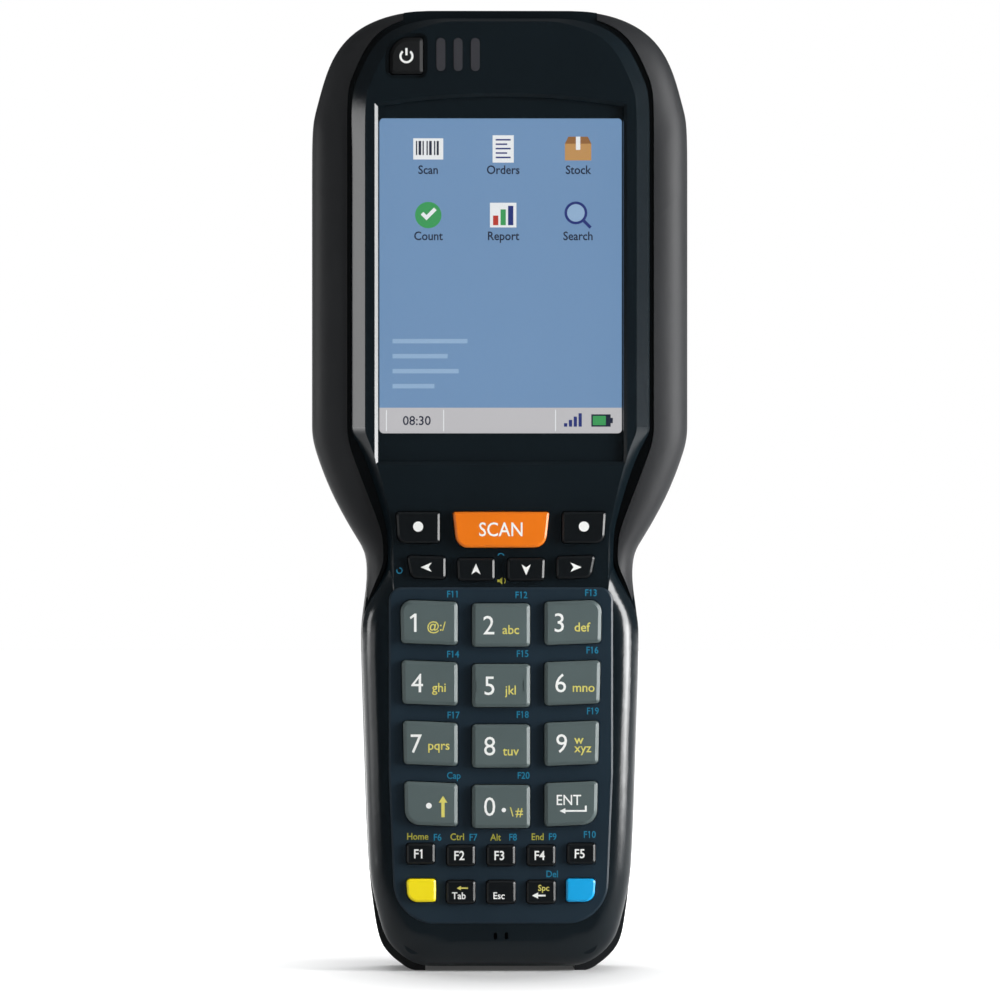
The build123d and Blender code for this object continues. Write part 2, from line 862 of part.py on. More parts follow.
def stem_places():
    """Where each key's stem comes down on the keypad board."""
    return [key_centre(points) for name, (points, r, rise) in all_keys.items() if name != "key_power"]


def keypad_mat():
    """The silicone mat that seals the stems, with a rim against the board and a lip under the panel's ledge."""
    sheet = slab(pad_face(part_gap), y_mat, y_mat + mat_thick)
    ring = pad_face(part_gap) - pad_face(part_gap + mat_rim)
    rim = slab(ring, y_mat, y_board)
    below_ledge = Pos(0, panel_top_z + ledge_outside - length / 2) * Rectangle(head_width, length)
    lip = slab(ring & below_ledge, y_ledge, y_mat)
    holes = [rod(x, z, stem_radius + key_gap, y_mat - 1, y_board) for x, z in stem_places()]
    return sheet + rim + lip - holes


def keypad_board():
    """The printed board under the keys."""
    return slab(pad_face(0), y_board, y_board + board_thick)


def dome_switches():
    """One shallow metal dome under each stem."""
    domes = []
    for x, z in stem_places():
        domes.append(Pos(x, y_board, z) * Rot(90, 0, 0) * dome())
    x, z = key_centre(all_keys["key_power"][0])
    domes.append(Pos(x, y_main, z) * Rot(90, 0, 0) * dome())
    return Compound(children=domes)


def dome():
    """A snap dome, turned about its axis."""
    profile = make_face(Polyline((0, 0), (dome_radius, 0), (dome_radius * 0.55, dome_height),
                                 (0, dome_height), close=True))
    return revolve(Plane.XZ * profile, axis=Axis.Z)


def keypad_flex():
    """The flat cable from the keypad board up to the main board."""
    start = y_board + board_thick
    end = y_main + board_thick
    t = flex_thick
    far = board_low_z + flex_overlap
    points = [
        (start, flex_low_z), (start + t, flex_low_z), (start + t, flex_bend_low - t),
        (end + t, flex_bend_high - t), (end + t, far), (end, far), (end, flex_bend_high),
        (start, flex_bend_low),
    ]
    strip = make_face(Polyline(*points, close=True))
    return extrude(Plane.YZ * strip, amount=flex_width / 2, both=True)


# ---------------------------------------------------------------- boards in the head
def board_screw_places():
    """The four small screws of the main board."""
    heights = (board_low_z + board_hole_low, board_low_z + board_hole_high)
    return [(side * board_hole_x, z) for z in heights for side in (-1, 1)]


def main_board():
    """The main board, with its processor can, memory, cell and connectors."""
    top = length - board_top_drop
    half = board_half
    n = board_notch
    outline = make_face(Polyline(
        (-half, board_low_z), (half, board_low_z), (half, top - n), (half - n, top),
        (-half + n, top), (-half, top - n), close=True,
    ))
    back = y_main + board_thick
    board = slab(outline, y_main, back)
    for left, right, low, high, height in board_blocks:
        board = board + block(left, right, back - 0.1, back + height, low, high)
    x, z, radius, height = backup_cell
    board = board + rod(x, z, radius, back - 0.1, back + height)
    for x in light_xs:
        board = board + block(x - 0.8, x + 0.8, y_main - 0.6, y_main + 0.1, light_z - 1.0, light_z + 1.0)
    for x, z in board_screw_places():
        board = board - rod(x, z, small_screw_radius + part_gap, y_main - 1, back + 1)
    return board


def board_screws():
    """The small screws that hold the main board to the chassis."""
    back = y_main + board_thick
    screws = []
    for x, z in board_screw_places():
        shank = rod(x, z, small_screw_radius - 0.02, y_chassis + 0.1, back + 0.1)
        screws.append(shank + rod(x, z, small_head_radius, back, back + small_head))
    return Compound(children=screws)


def radio_card():
    """The screened radio module on the back of the main board."""
    back = y_main + board_thick
    left, right, low, high, height = radio_block
    return block(left, right, back, back + height, low, high)


def status_lenses():
    """Three smoky light pipes, from the face down to the lights on the board."""
    lenses = []
    for x in light_xs:
        lens = light_slot(x, 0, y_face - 0.1, y_window + 0.6)
        collar = light_slot(x, 0.5, y_window + 0.05, y_window + 0.8)
        pipe = block(x - 0.7, x + 0.7, y_window + 0.5, y_main - 0.8, light_z - 2.0, light_z + 2.0)
        lenses.append(lens + collar + pipe)
    return Compound(children=lenses)


def microphone():
    """The microphone capsule behind its two slots."""
    return rod(0, mic_z, 2.0, y_inner + 0.1, y_inner + 1.8)


# ---------------------------------------------------------------- rear housing
bay_top = battery_low_z + battery_height
latch_low = bay_top + 2.2
latch_high = latch_low + latch_height
pocket_high = latch_high + latch_travel + 0.3
y_latch = y_grip_back - 4.3
y_latch_face = y_grip_back + 0.3
engine_top = length - 6.0
window_floor = length - window_sink - window_thick - 0.6
back_inner = y_back - rear_wall


def head_hollow():
    """The room inside the head for the boards, scanner and speaker."""
    upper = Pos(0, pocket_high + 2.0 + length / 2) * Rectangle(head_width, length)
    return slab(core & upper, y_part - 1, y_back) & side_profile(rear_wall)


def battery_room(gap):
    """The bay at the back of the grip."""
    half = battery_half + gap
    return block(-half, half, y_bay - gap, y_back + 5, battery_low_z - gap, bay_top + gap)


def rear_housing():
    """The rear shell: head hollow, battery bay, bosses, grille, latch pocket and foot rails."""
    shell = rear_body - rubber_room - head_hollow()
    low_cut = Pos(0, neck_z + 2 - length / 2) * Rectangle(head_width, length)
    shell = shell - slab(core & low_cut, y_part - 1, y_bay - bay_floor)
    shell = shell - battery_room(slide_gap)
    for x, z in screw_places()[:4]:
        shell = shell + (rod(x, z, boss_radius + 0.8, y_chassis + chassis_thick, y_back - 1) & boss_room())
    for x, z in engine_posts():
        shell = shell + rod(x, z, 2.4, window_y + engine_depth / 2 + 1.3, back_inner + 0.1)
    for side in (-1, 1):
        shell = shell + rod(side * insert_x, insert_z, insert_radius + 1.4, y_back - insert_length - 1.5,
                            back_inner + 0.1)
    for x, z in board_posts():
        shell = shell + rod(x, z, 2.0, y_board + board_thick, max(y_bay - bay_floor, y_part) + 0.1)
    shell = shell - slab(seal_ring(fit_gap), y_part - 0.5, y_part + seal_thick_y + fit_gap)
    shell = shell - rear_holes() - latch_pocket() - foot_cut()
    shell = shell - block(-dock_half - fit_gap, dock_half + fit_gap, dock_y0 - fit_gap, dock_y1 + fit_gap,
                          -1, rail_rise + dock_height + fit_gap)
    shell = shell - contact_block(fit_gap)
    return shell


def boss_room():
    """Keeps the tall bosses inside the rear housing's own outline."""
    return (slab(body_outline(1, 1, 1, 1), y_part - 2, y_back) & side_profile(1)) - rubber_room


def rear_holes():
    """Screw holes, insert holes, the label's shallow seat, the scan window's seat and the speaker slots."""
    label = Pos(0, label_z) * RectangleRounded(label_width, label_height, 2.0)
    holes = [slab(label, y_back - label_sink, y_back + 1)]
    for x, z in screw_places():
        holes.append(rod(x, z, screw_radius + part_gap, y_part - 2, y_back + 1))
        holes.append(rod(x, z, screw_head_radius + slide_gap, screw_seat_y, y_back + 1))
    for side in (-1, 1):
        holes.append(rod(side * insert_x, insert_z, insert_radius, y_back - insert_length, y_back + 1))
    y0 = window_y - window_depth / 2
    y1 = window_y + window_depth / 2
    half = window_half + fit_gap
    holes.append(block(-half, half, y0 - fit_gap, y1 + fit_gap, window_floor, length + 2))
    holes.append(block(-window_half + 2.5, window_half - 2.5, y0 + 1.5, y1 - 1.5, engine_top - 3, length + 2))
    z = length - speaker_drop
    for row in range(-2, 3):
        holes.append(block(speaker_x - 5.5 + abs(row), speaker_x + 5.5 - abs(row), back_inner - 1, y_back + 1,
                           z + row * 2.4 - 0.5, z + row * 2.4 + 0.5))
    return holes


def engine_posts():
    """The four posts that the scan engine's bracket is fixed to."""
    return [(side * 10.0, z) for z in (engine_top - 12.5, engine_top - 3.0) for side in (-1, 1)]


def board_posts():
    """The posts that press the keypad board against the mat."""
    return [(side * 20.0, z) for z in (32.0, 58.6, 84.0) for side in (-1, 1)]


def latch_pocket():
    """The slot that the latch slides in, with its undercut and the hook's way through."""
    half = latch_half + slide_gap
    wide = latch_half + latch_ear + slide_gap
    mouth = block(-half, half, y_latch - slide_gap, y_back + 5, latch_low - slide_gap, pocket_high)
    under = block(-wide, wide, y_latch - slide_gap, y_latch + latch_plate + slide_gap,
                  latch_low - slide_gap, pocket_high)
    hook = hook_half + slide_gap
    way = block(-hook, hook, y_latch - slide_gap, y_latch + latch_plate + slide_gap,
                bay_top - 1, latch_low + 1)
    return mouth + under + way


def foot_cut():
    """The gap between the two rails under the grip."""
    half = rail_half - rail_tip
    return block(-half, half, y_part - 1, y_back, -1, rail_rise)


dock_y0 = y_part + 1.6
dock_y1 = dock_y0 + dock_depth


# ---------------------------------------------------------------- fasteners and fittings
def housing_screws():
    """Six equal screws that pull the shells together."""
    screws = []
    for x, z in screw_places():
        shank = rod(x, z, screw_radius - 0.02, screw_tip_y, screw_seat_y + 0.1)
        head = rod(x, z, screw_head_radius, screw_seat_y, screw_seat_y + screw_head)
        drive = rod(x, z, 0.9, screw_seat_y + 0.7, screw_seat_y + screw_head + 1)
        screws.append(shank + head - drive)
    return Compound(children=screws)


def strap_inserts():
    """Two threaded brass inserts in the back of the head."""
    inserts = []
    for side in (-1, 1):
        body = rod(side * insert_x, insert_z, insert_radius - fit_gap / 2, y_back - insert_length, y_back - 0.1)
        inserts.append(body - rod(side * insert_x, insert_z, insert_bore, y_back - insert_length - 1, y_back + 1))
    return Compound(children=inserts)


def scan_window():
    """The dark window in the top end."""
    y0 = window_y - window_depth / 2
    y1 = window_y + window_depth / 2
    return block(-window_half, window_half, y0, y1, window_floor, window_floor + window_thick)


def scan_engine():
    """The scan engine: a block with its two lens barrels looking out of the top."""
    y0 = window_y - engine_depth / 2
    y1 = window_y + engine_depth / 2
    body = block(-engine_half, engine_half, y0, y1, engine_top - engine_height, engine_top - 1.5)
    body = chamfer(body.edges().filter_by(Axis.Z), 0.8)
    lens = Pos(-4.0, window_y, engine_top - 1.1) * Cylinder(3.4, 1.2)
    lamp = Pos(5.5, window_y, engine_top - 1.1) * Cylinder(2.4, 1.2)
    return body + lens + lamp - Pos(-4.0, window_y, engine_top - 0.8) * Cylinder(2.2, 1.2)


def engine_bracket():
    """The bent bracket that holds the scan engine off the back wall."""
    y = window_y + engine_depth / 2
    low = engine_top - engine_height
    plate = block(-engine_half - 2, engine_half + 2, y + fit_gap, y + 1.25, low - 1.3, engine_top - 1.5)
    foot = block(-engine_half - 2, engine_half + 2, y - 6, y + 1.25, low - 1.3, low - fit_gap)
    return plate + foot


def speaker():
    """The loudspeaker behind the grille."""
    z = length - speaker_drop
    body = rod(speaker_x, z, speaker_radius, back_inner - speaker_thick, back_inner - 0.1)
    return body + rod(speaker_x, z, speaker_radius * 0.6, back_inner - speaker_thick - 1.4, back_inner - 1)


def dock_connector():
    """The connector in the foot, with a row of charging pads."""
    body = block(-dock_half, dock_half, dock_y0, dock_y1, rail_rise, rail_rise + dock_height)
    pitch = 2 * (dock_half - 1.4) / (dock_pads - 1)
    for place in range(dock_pads):
        x = -dock_half + 1.4 + place * pitch
        body = body - block(x - 0.6, x + 0.6, dock_y0 + 1.4, dock_y1 - 1.4, rail_rise - 1, rail_rise + 0.3)
    return body


def contact_block(grow):
    """The battery contacts' seat in the floor of the bay."""
    return block(-8 - grow, 8 + grow, y_bay - bay_floor - 0.6 - grow, y_bay - 0.1 + grow, 70 - grow, 75 + grow)


def battery_contacts():
    """Four spring blades in their carrier."""
    carrier = contact_block(0)
    for place in range(4):
        x = -5.4 + place * 3.6
        carrier = carrier - block(x - 0.9, x + 0.9, y_bay - 0.5, y_bay + 1, 71, 74)
    return carrier


# ---------------------------------------------------------------- battery and latch
def battery_case():
    """The battery pack's case, which makes the back of the grip."""
    case = rear_body & battery_room(0)
    y_cell = y_bay + battery_skin + cell_diameter / 2
    for side in (-1, 1):
        bore = Cylinder(cell_diameter / 2 + cell_gap, cell_length + 2)
        case = case - Pos(side * cell_x, y_cell, cell_z) * bore
    slot_top = bay_top + 1
    slot = block(-hook_half - 0.5, hook_half + 0.5, y_latch - 0.5, y_latch + latch_plate + 0.5,
                 latch_low - hook_drop - 0.6, slot_top)
    case = case - slot
    for place in range(5):
        z = 30 + place * groove_pitch
        case = case - block(-15 + place, 15 - place, y_grip_back - groove_depth, y_back, z - 0.6, z + 0.6)
    return case


cell_x = cell_diameter / 2 + 1.2
cell_z = battery_low_z + battery_height / 2 - 1.5


def battery_cells():
    """Two round cells side by side."""
    y_cell = y_bay + battery_skin + cell_diameter / 2
    cells = [Pos(side * cell_x, y_cell, cell_z) * Cylinder(cell_diameter / 2, cell_length) for side in (-1, 1)]
    return Compound(children=cells)


def battery_latch():
    """The sliding latch: a ribbed thumb pad, two ears that run in the pocket, and the hook."""
    pad = block(-latch_half, latch_half, y_latch, y_latch_face, latch_low, latch_high)
    front = pad.edges().filter_by(lambda e: abs(e.center().Y - y_latch_face) < 0.01)
    pad = chamfer(front, 0.6)
    ears = block(-latch_half - latch_ear, latch_half + latch_ear, y_latch, y_latch + latch_plate,
                 latch_low, latch_high)
    hook = block(-hook_half, hook_half, y_latch, y_latch + latch_plate, latch_low - hook_drop, latch_low + 0.5)
    latch = pad + ears + hook
    for place in range(3):
        z = latch_low + 2.2 + place * 2.0
        latch = latch - block(-6.5, 6.5, y_latch_face - 0.5, y_latch_face + 1, z - 0.4, z + 0.4)
    spring_y = y_latch + 2.4
    bore = Pos(0, spring_y, latch_high) * Cylinder(spring_radius + 0.3, 8.0)
    return latch - bore


def latch_spring():
    """The coil spring that pushes the latch down."""
    spring_y = y_latch + 2.4
    low = latch_high - 4.0 + spring_wire + 0.1
    height = pocket_high - 0.1 - spring_wire - low
    coil = Helix(pitch=height / 5, height=height, radius=spring_radius - spring_wire)
    start = coil @ 0
    section = Plane(origin=start, z_dir=coil % 0) * Circle(spring_wire)
    return Pos(0, spring_y, low) * sweep(section, path=coil)


# ---------------------------------------------------------------- write every piece
def build():
    """All pieces by name."""
    pieces = {
        "front_cover": front_cover(),
        "keypad_panel": keypad_panel(),
        "head_bumpers": head_bumpers(),
        "rear_housing": rear_housing(),
        "housing_seal": housing_seal(),
        "display_seal": display_seal(),
        "touch_panel": touch_panel(),
        "display_module": display_module(),
        "chassis": chassis(),
        "keypad_mat": keypad_mat(),
        "keypad_board": keypad_board(),
        "dome_switches": dome_switches(),
        "keypad_flex": keypad_flex(),
        "main_board": main_board(),
        "board_screws": board_screws(),
        "radio_card": radio_card(),
        "status_lenses": status_lenses(),
        "microphone": microphone(),
        "speaker": speaker(),
        "scan_window": scan_window(),
        "scan_engine": scan_engine(),
        "engine_bracket": engine_bracket(),
        "dock_connector": dock_connector(),
        "housing_screws": housing_screws(),
        "strap_inserts": strap_inserts(),
        "battery_case": battery_case(),
        "battery_cells": battery_cells(),
        "battery_contacts": battery_contacts(),
        "battery_latch": battery_latch(),
        "latch_spring": latch_spring(),
    }
    for name in all_keys:
        pieces[name] = keycap(name)
    return pieces


os.makedirs("parts", exist_ok=True)
for node, piece in build().items():
    export_step(piece, "parts/" + node + ".step")
    print(node, len(piece.solids()), round(piece.volume, 1))
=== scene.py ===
# %% [markdown]
# # A hand-held barcode terminal, dressed for the camera
# The moulded shells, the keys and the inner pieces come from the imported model, already in place and in
# metres. This lesson gives them their finishes, prints the legends on the keys, draws something on the
# display and sets up a small studio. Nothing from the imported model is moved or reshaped.

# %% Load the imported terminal
import bpy
import bmesh
import math
from mathutils import Matrix, Vector


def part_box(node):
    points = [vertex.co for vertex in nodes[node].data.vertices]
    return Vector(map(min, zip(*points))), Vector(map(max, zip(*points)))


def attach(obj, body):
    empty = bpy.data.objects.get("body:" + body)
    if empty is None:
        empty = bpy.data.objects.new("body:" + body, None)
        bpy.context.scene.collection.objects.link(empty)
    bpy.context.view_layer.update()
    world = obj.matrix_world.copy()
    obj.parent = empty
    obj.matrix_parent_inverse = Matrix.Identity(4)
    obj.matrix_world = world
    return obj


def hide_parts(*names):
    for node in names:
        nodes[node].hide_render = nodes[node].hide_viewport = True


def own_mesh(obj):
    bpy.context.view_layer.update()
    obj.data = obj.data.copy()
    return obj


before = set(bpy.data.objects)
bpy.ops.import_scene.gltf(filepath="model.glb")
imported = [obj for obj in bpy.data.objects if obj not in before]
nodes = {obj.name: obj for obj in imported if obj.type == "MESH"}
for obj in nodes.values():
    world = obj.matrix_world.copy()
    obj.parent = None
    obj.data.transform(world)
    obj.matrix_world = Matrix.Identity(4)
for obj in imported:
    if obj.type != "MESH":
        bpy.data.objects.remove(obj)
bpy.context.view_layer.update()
MM = 0.001
keys = sorted(name for name in nodes if name.startswith("key_"))
print("loaded", len(nodes), "nodes, of which", len(keys), "keys")

# %% [markdown]
# ## Camera
# The terminal stands upright and is seen square on, a touch from its left. A very long lens keeps its
# sides parallel and its rim, which lies 20 mm behind the keys, at full size. The picture is 226.6 mm
# high at the keys, and its middle is 107 mm up, so the distance follows from the lens and the sensor.

# %% Camera
PICTURE_HEIGHT = 226.6 * MM
LENS = 400.0
SENSOR = 36.0
AIM = Vector((-0.2 * MM, -0.018, 107.0 * MM))
AZIMUTH = math.radians(-1.3)
ELEVATION = math.radians(0.6)

distance = PICTURE_HEIGHT * LENS / SENSOR
back = Vector((math.sin(AZIMUTH) * math.cos(ELEVATION),
               -math.cos(AZIMUTH) * math.cos(ELEVATION),
               math.sin(ELEVATION)))
camera_data = bpy.data.cameras.new("studio_camera")
camera_data.lens = LENS
camera_data.sensor_width = SENSOR
camera_data.clip_start = 0.01
camera = bpy.data.objects.new("studio_camera", camera_data)
bpy.context.scene.collection.objects.link(camera)
camera.location = AIM + back * distance
camera.rotation_mode = "QUATERNION"
camera.rotation_quaternion = (-back).to_track_quat("-Z", "Y")
bpy.context.scene.camera = camera
bpy.context.scene.view_settings.view_transform = "Standard"
print("camera stands", round(distance, 3), "m away")

# %% [markdown]
# ## Helpers for materials
# In Blender a material is a small graph: nodes hand numbers and colours to each other over links. Every
# finish needs the same few steps, so they get short names here: find a new material's shader, add or
# multiply two outputs, and stretch one range of numbers to another. Each graph could be written out in
# full instead, but then what sets one finish apart from the next would be hard to see.

# %% Node helpers
def shader_of(material):
    """The shader node, the node list and the link list of a new material."""
    material.use_nodes = True
    tree = material.node_tree
    return tree.nodes["Principled BSDF"], tree.nodes, tree.links


def sum_of(parts, links, first, second):
    """A node that adds two outputs and stops at 1."""
    total = parts.new("ShaderNodeMath")
    total.operation = "ADD"
    total.use_clamp = True
    links.new(first, total.inputs[0])
    links.new(second, total.inputs[1])
    return total.outputs[0]


def product_of(parts, links, first, second):
    """A node that multiplies two outputs."""
    result = parts.new("ShaderNodeMath")
    result.operation = "MULTIPLY"
    links.new(first, result.inputs[0])
    links.new(second, result.inputs[1])
    return result.outputs[0]


def between(parts, links, value, low, high, to_low, to_high):
    """A node that turns one range of an output into another."""
    ramp = parts.new("ShaderNodeMapRange")
    for socket, number in (("From Min", low), ("From Max", high), ("To Min", to_low), ("To Max", to_high)):
        ramp.inputs[socket].default_value = number
    links.new(value, ramp.inputs["Value"])
    return ramp.outputs["Result"]


print("helpers for material nodes are ready")

# %% [markdown]
# ## Floor
# The floor is a plain pale sheet that has to look white and still show the terminal's shadow. Near the
# terminal most of its brightness is lamplight, which a shadow takes away; further off, where the lamps
# are weak, it gets more of a glow of its own. That glow is weakest round the foot and full sooner sideways
# than in front and behind, so a dim patch of painted shade, long like the shadow, lies round the foot
# besides the real shadow that the lamps cast.
# Only rays from the camera, off gloss or through glass see that glow, so the floor lights the terminal as
# plain paper would. Gloss sees it behind the terminal alone, and in front it sees a darker floor, as if a
# black card lay there: otherwise every dark face that looks at the camera would mirror a white floor and
# turn grey. A floor that only catches shadows would be simpler, but gloss would then have none to show.

# %% Floor
HALF_FLOOR = 3.0
PAPER = 0.80
BLACK_CARD = 0.06
GLOW_STARTS, GLOW_FULL = 0.04, 0.22
PAINTED_SHADE_GLOW = 0.05
SIDEWAYS = 2.4
BEHIND_STARTS, BEHIND_FULL = 0.15, 0.60
CARD_FULL, CARD_ENDS = -0.10, 0.05

floor_mesh = bpy.data.meshes.new("floor")
floor_mesh.from_pydata([(-HALF_FLOOR, -HALF_FLOOR, 0), (HALF_FLOOR, -HALF_FLOOR, 0),
                        (HALF_FLOOR, HALF_FLOOR, 0), (-HALF_FLOOR, HALF_FLOOR, 0)], [], [(0, 1, 2, 3)])
floor = bpy.data.objects.new("floor", floor_mesh)
bpy.context.scene.collection.objects.link(floor)
floor_finish = bpy.data.materials.new("pale_floor")
shader, parts, links = shader_of(floor_finish)
shader.inputs["Base Color"].default_value = (PAPER, PAPER, PAPER, 1)
shader.inputs["Roughness"].default_value = 0.9
shader.inputs["Specular IOR Level"].default_value = 0.1
shader.inputs["Emission Color"].default_value = (1, 1, 1, 1)
path = parts.new("ShaderNodeLightPath")
place = parts.new("ShaderNodeTexCoord")
widened = parts.new("ShaderNodeMapping")
widened.inputs["Scale"].default_value = (SIDEWAYS, 1.0, 1.0)
reach = parts.new("ShaderNodeVectorMath")
reach.operation = "LENGTH"
links.new(place.outputs["Object"], widened.inputs["Vector"])
links.new(widened.outputs["Vector"], reach.inputs[0])
# Painted shade: the glow is dim round the foot and rises outwards, 2.4 times sooner sideways than in front
# and behind.
glow = between(parts, links, reach.outputs["Value"], GLOW_STARTS, GLOW_FULL, PAINTED_SHADE_GLOW, 1.0)
split = parts.new("ShaderNodeSeparateXYZ")
links.new(place.outputs["Object"], split.inputs[0])
behind = between(parts, links, split.outputs["Y"], BEHIND_STARTS, BEHIND_FULL, 0.0, 1.0)
in_front = between(parts, links, split.outputs["Y"], CARD_FULL, CARD_ENDS, 1.0, 0.0)
dimmed = product_of(parts, links, path.outputs["Is Glossy Ray"], in_front)
links.new(between(parts, links, dimmed, 0.0, 1.0, PAPER, BLACK_CARD), shader.inputs["Base Color"])
mirrored = product_of(parts, links, path.outputs["Is Glossy Ray"], behind)
seen = sum_of(parts, links, path.outputs["Is Camera Ray"],
              sum_of(parts, links, mirrored, path.outputs["Is Transmission Ray"]))
links.new(product_of(parts, links, glow, seen), shader.inputs["Emission Strength"])
floor_mesh.materials.append(floor_finish)
print("floor is", 2 * HALF_FLOOR, "m wide")

# %% [markdown]
# ## World
# Whatever a ray meets beyond the floor is the world. A ray from the camera meets plain white there, and so
# does one off gloss or through glass that runs almost straight back. All others meet a dim grey, which is
# the light of the room, and gloss sees less than a third of it, so that dark plastic stays dark. A sky
# texture would light the terminal too, but its shapes would show in every glossy face.

# %% World
ROOM_GREY = (0.20, 0.205, 0.21, 1)
GLOSS_SHARE = 0.3
WHITE_STARTS, WHITE_FULL = 0.95, 0.997

world = bpy.data.worlds.new("studio")
bpy.context.scene.world = world
world.use_nodes = True
parts = world.node_tree.nodes
links = world.node_tree.links
parts.clear()
plain = parts.new("ShaderNodeBackground")
plain.inputs["Color"].default_value = ROOM_GREY
white = parts.new("ShaderNodeBackground")
white.inputs["Color"].default_value = (1, 1, 1, 1)
either = parts.new("ShaderNodeMixShader")
sky_out = parts.new("ShaderNodeOutputWorld")
path = parts.new("ShaderNodeLightPath")
room = parts.new("ShaderNodeTexCoord")
split = parts.new("ShaderNodeSeparateXYZ")
links.new(room.outputs["Generated"], split.inputs[0])
behind = between(parts, links, split.outputs["Y"], WHITE_STARTS, WHITE_FULL, 0.0, 1.0)
shiny = sum_of(parts, links, path.outputs["Is Glossy Ray"], path.outputs["Is Transmission Ray"])
seen = sum_of(parts, links, path.outputs["Is Camera Ray"], product_of(parts, links, shiny, behind))
links.new(between(parts, links, shiny, 0.0, 1.0, 1.0, GLOSS_SHARE), plain.inputs["Strength"])
links.new(seen, either.inputs[0])
links.new(plain.outputs[0], either.inputs[1])
links.new(white.outputs[0], either.inputs[2])
links.new(either.outputs[0], sky_out.inputs[0])
print("world: white to look at, grey as a light")

# %% [markdown]
# ## Lamps
# Dark glossy plastic shows its lamps more than its own colour. A rolled edge that turns away by an angle
# mirrors what stands at twice that angle, so each lamp is placed by its angle round the terminal. A tall
# box at 66 degrees on the right draws the bright line down every edge that faces right: the grip's
# roll, the right bumper, the keys' bevels and the display's left wall. A weak one at 97 degrees on the
# left fills only the steeper ridge. A small low lamp on each side widens the light on the grip alone,
# because an upright wall mirrors what stands at its own height. A sheet above the camera lights the keys
# and one behind lights the floor, so that the terminal's shadow falls towards the camera. Gloss doesn't
# show the one behind, or it would draw a bright line along the top of the head.

# %% Lamps
TURN = (0.0, -0.01)


def soft_box(name, angle, away, height, size, power, look=0.11, gloss=True):
    """A rectangular lamp at an angle round the terminal, 0 in front and positive to the right."""
    turn = math.radians(angle)
    place = Vector((TURN[0] + math.sin(turn) * away, TURN[1] - math.cos(turn) * away, height))
    data = bpy.data.lights.new(name, "AREA")
    data.shape = "RECTANGLE"
    data.size = size[0]
    data.size_y = size[1]
    data.energy = power
    lamp = bpy.data.objects.new(name, data)
    lamp.location = place
    lamp.rotation_mode = "QUATERNION"
    lamp.rotation_quaternion = (Vector((0, 0, look)) - place).to_track_quat("-Z", "Y")
    lamp.visible_glossy = gloss
    bpy.context.scene.collection.objects.link(lamp)
    return lamp


lamps = [
    soft_box("box_right", 66, 0.62, 0.22, (0.27, 0.42), 5.0),
    soft_box("box_right_low", 77, 0.58, 0.055, (0.24, 0.11), 0.80, look=0.055),
    soft_box("box_left", -97, 0.55, 0.15, (0.18, 0.18), 0.43),
    soft_box("box_left_low", -86, 0.55, 0.05, (0.42, 0.10), 0.18, look=0.05),
    soft_box("sheet_front", -10, 0.75, 0.95, (0.7, 0.4), 1.3),
    soft_box("sheet_back", 180, 0.60, 0.95, (1.0, 0.6), 6.6, look=0.0, gloss=False),
]
print("lamps:", ", ".join(lamp.name for lamp in lamps))

# %% [markdown]
# ## Moulded plastic, rubber and the rest
# A moulded shell is never one flat colour: spark erosion leaves a fine grain on it, its gloss changes a
# little from place to place, and so does its tone. One recipe gives all three from noise in the object's own
# metres, so a grain of a tenth of a millimetre is that size on every piece. Numbers that are the same
# all over sit on the shader's own sockets.

# %% Moulded finish
SLOW_CHANGE = 45.0
TONE_STOPS = (0.30, 0.70)
BUMP_STRENGTH = 0.5
COAT_GLOSS = 0.12


def screen_colour(red, green, blue):
    """A colour written as it shows on a screen, 0 to 255, turned into linear light."""
    def linear(value):
        share = value / 255
        return share / 12.92 if share <= 0.04045 else ((share + 0.055) / 1.055) ** 2.4
    return (linear(red), linear(green), linear(blue), 1.0)


def scaled(colour, share):
    """A colour made lighter or darker."""
    return tuple(min(1.0, value * share) for value in colour[:3]) + (1.0,)


def moulded(name, colour, gloss_low, gloss_high, grain=0.12, depth=0.006, tone=0.10,
            metallic=0.0, coat=0.0, specular=0.5):
    """A finish with a fine grain, sized in millimetres, and slow changes of tone and gloss."""
    finish = bpy.data.materials.new(name)
    shader, parts, links = shader_of(finish)
    place = parts.new("ShaderNodeTexCoord")
    fine = parts.new("ShaderNodeTexNoise")
    fine.inputs["Scale"].default_value = 1 / (grain * MM)
    fine.inputs["Detail"].default_value = 2.0
    slow = parts.new("ShaderNodeTexNoise")
    slow.inputs["Scale"].default_value = SLOW_CHANGE
    slow.inputs["Detail"].default_value = 4.0
    tones = parts.new("ShaderNodeValToRGB")
    for stop, position, share in zip(tones.color_ramp.elements, TONE_STOPS, (1 - tone, 1 + tone)):
        stop.position = position
        stop.color = scaled(colour, share)
    bump = parts.new("ShaderNodeBump")
    bump.inputs["Strength"].default_value = BUMP_STRENGTH
    bump.inputs["Distance"].default_value = depth * MM
    for noise in (fine, slow):
        links.new(place.outputs["Object"], noise.inputs["Vector"])
    links.new(slow.outputs["Fac"], tones.inputs["Fac"])
    links.new(between(parts, links, slow.outputs["Fac"], 0.0, 1.0, gloss_low, gloss_high),
              shader.inputs["Roughness"])
    links.new(fine.outputs["Fac"], bump.inputs["Height"])
    links.new(tones.outputs["Color"], shader.inputs["Base Color"])
    links.new(bump.outputs["Normal"], shader.inputs["Normal"])
    shader.inputs["Metallic"].default_value = metallic
    shader.inputs["Coat Weight"].default_value = coat
    shader.inputs["Coat Roughness"].default_value = COAT_GLOSS
    shader.inputs["Specular IOR Level"].default_value = specular
    finish.diffuse_color = colour
    return finish


print("tone changes over about", round(1000 / SLOW_CHANGE), "mm")

# %% [markdown]
# ## A finish for every piece
# The front cover is smooth and glossy, the panel satin, the guards are soft rubber with a coarse grain, and
# the back is a fine-grained moulding. Inside are pressed sheet, green boards, steel domes and silicone. Each
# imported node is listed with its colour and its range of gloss, low to high. A few shared materials would
# be less to write, but then neighbouring pieces would run into each other in the picture.

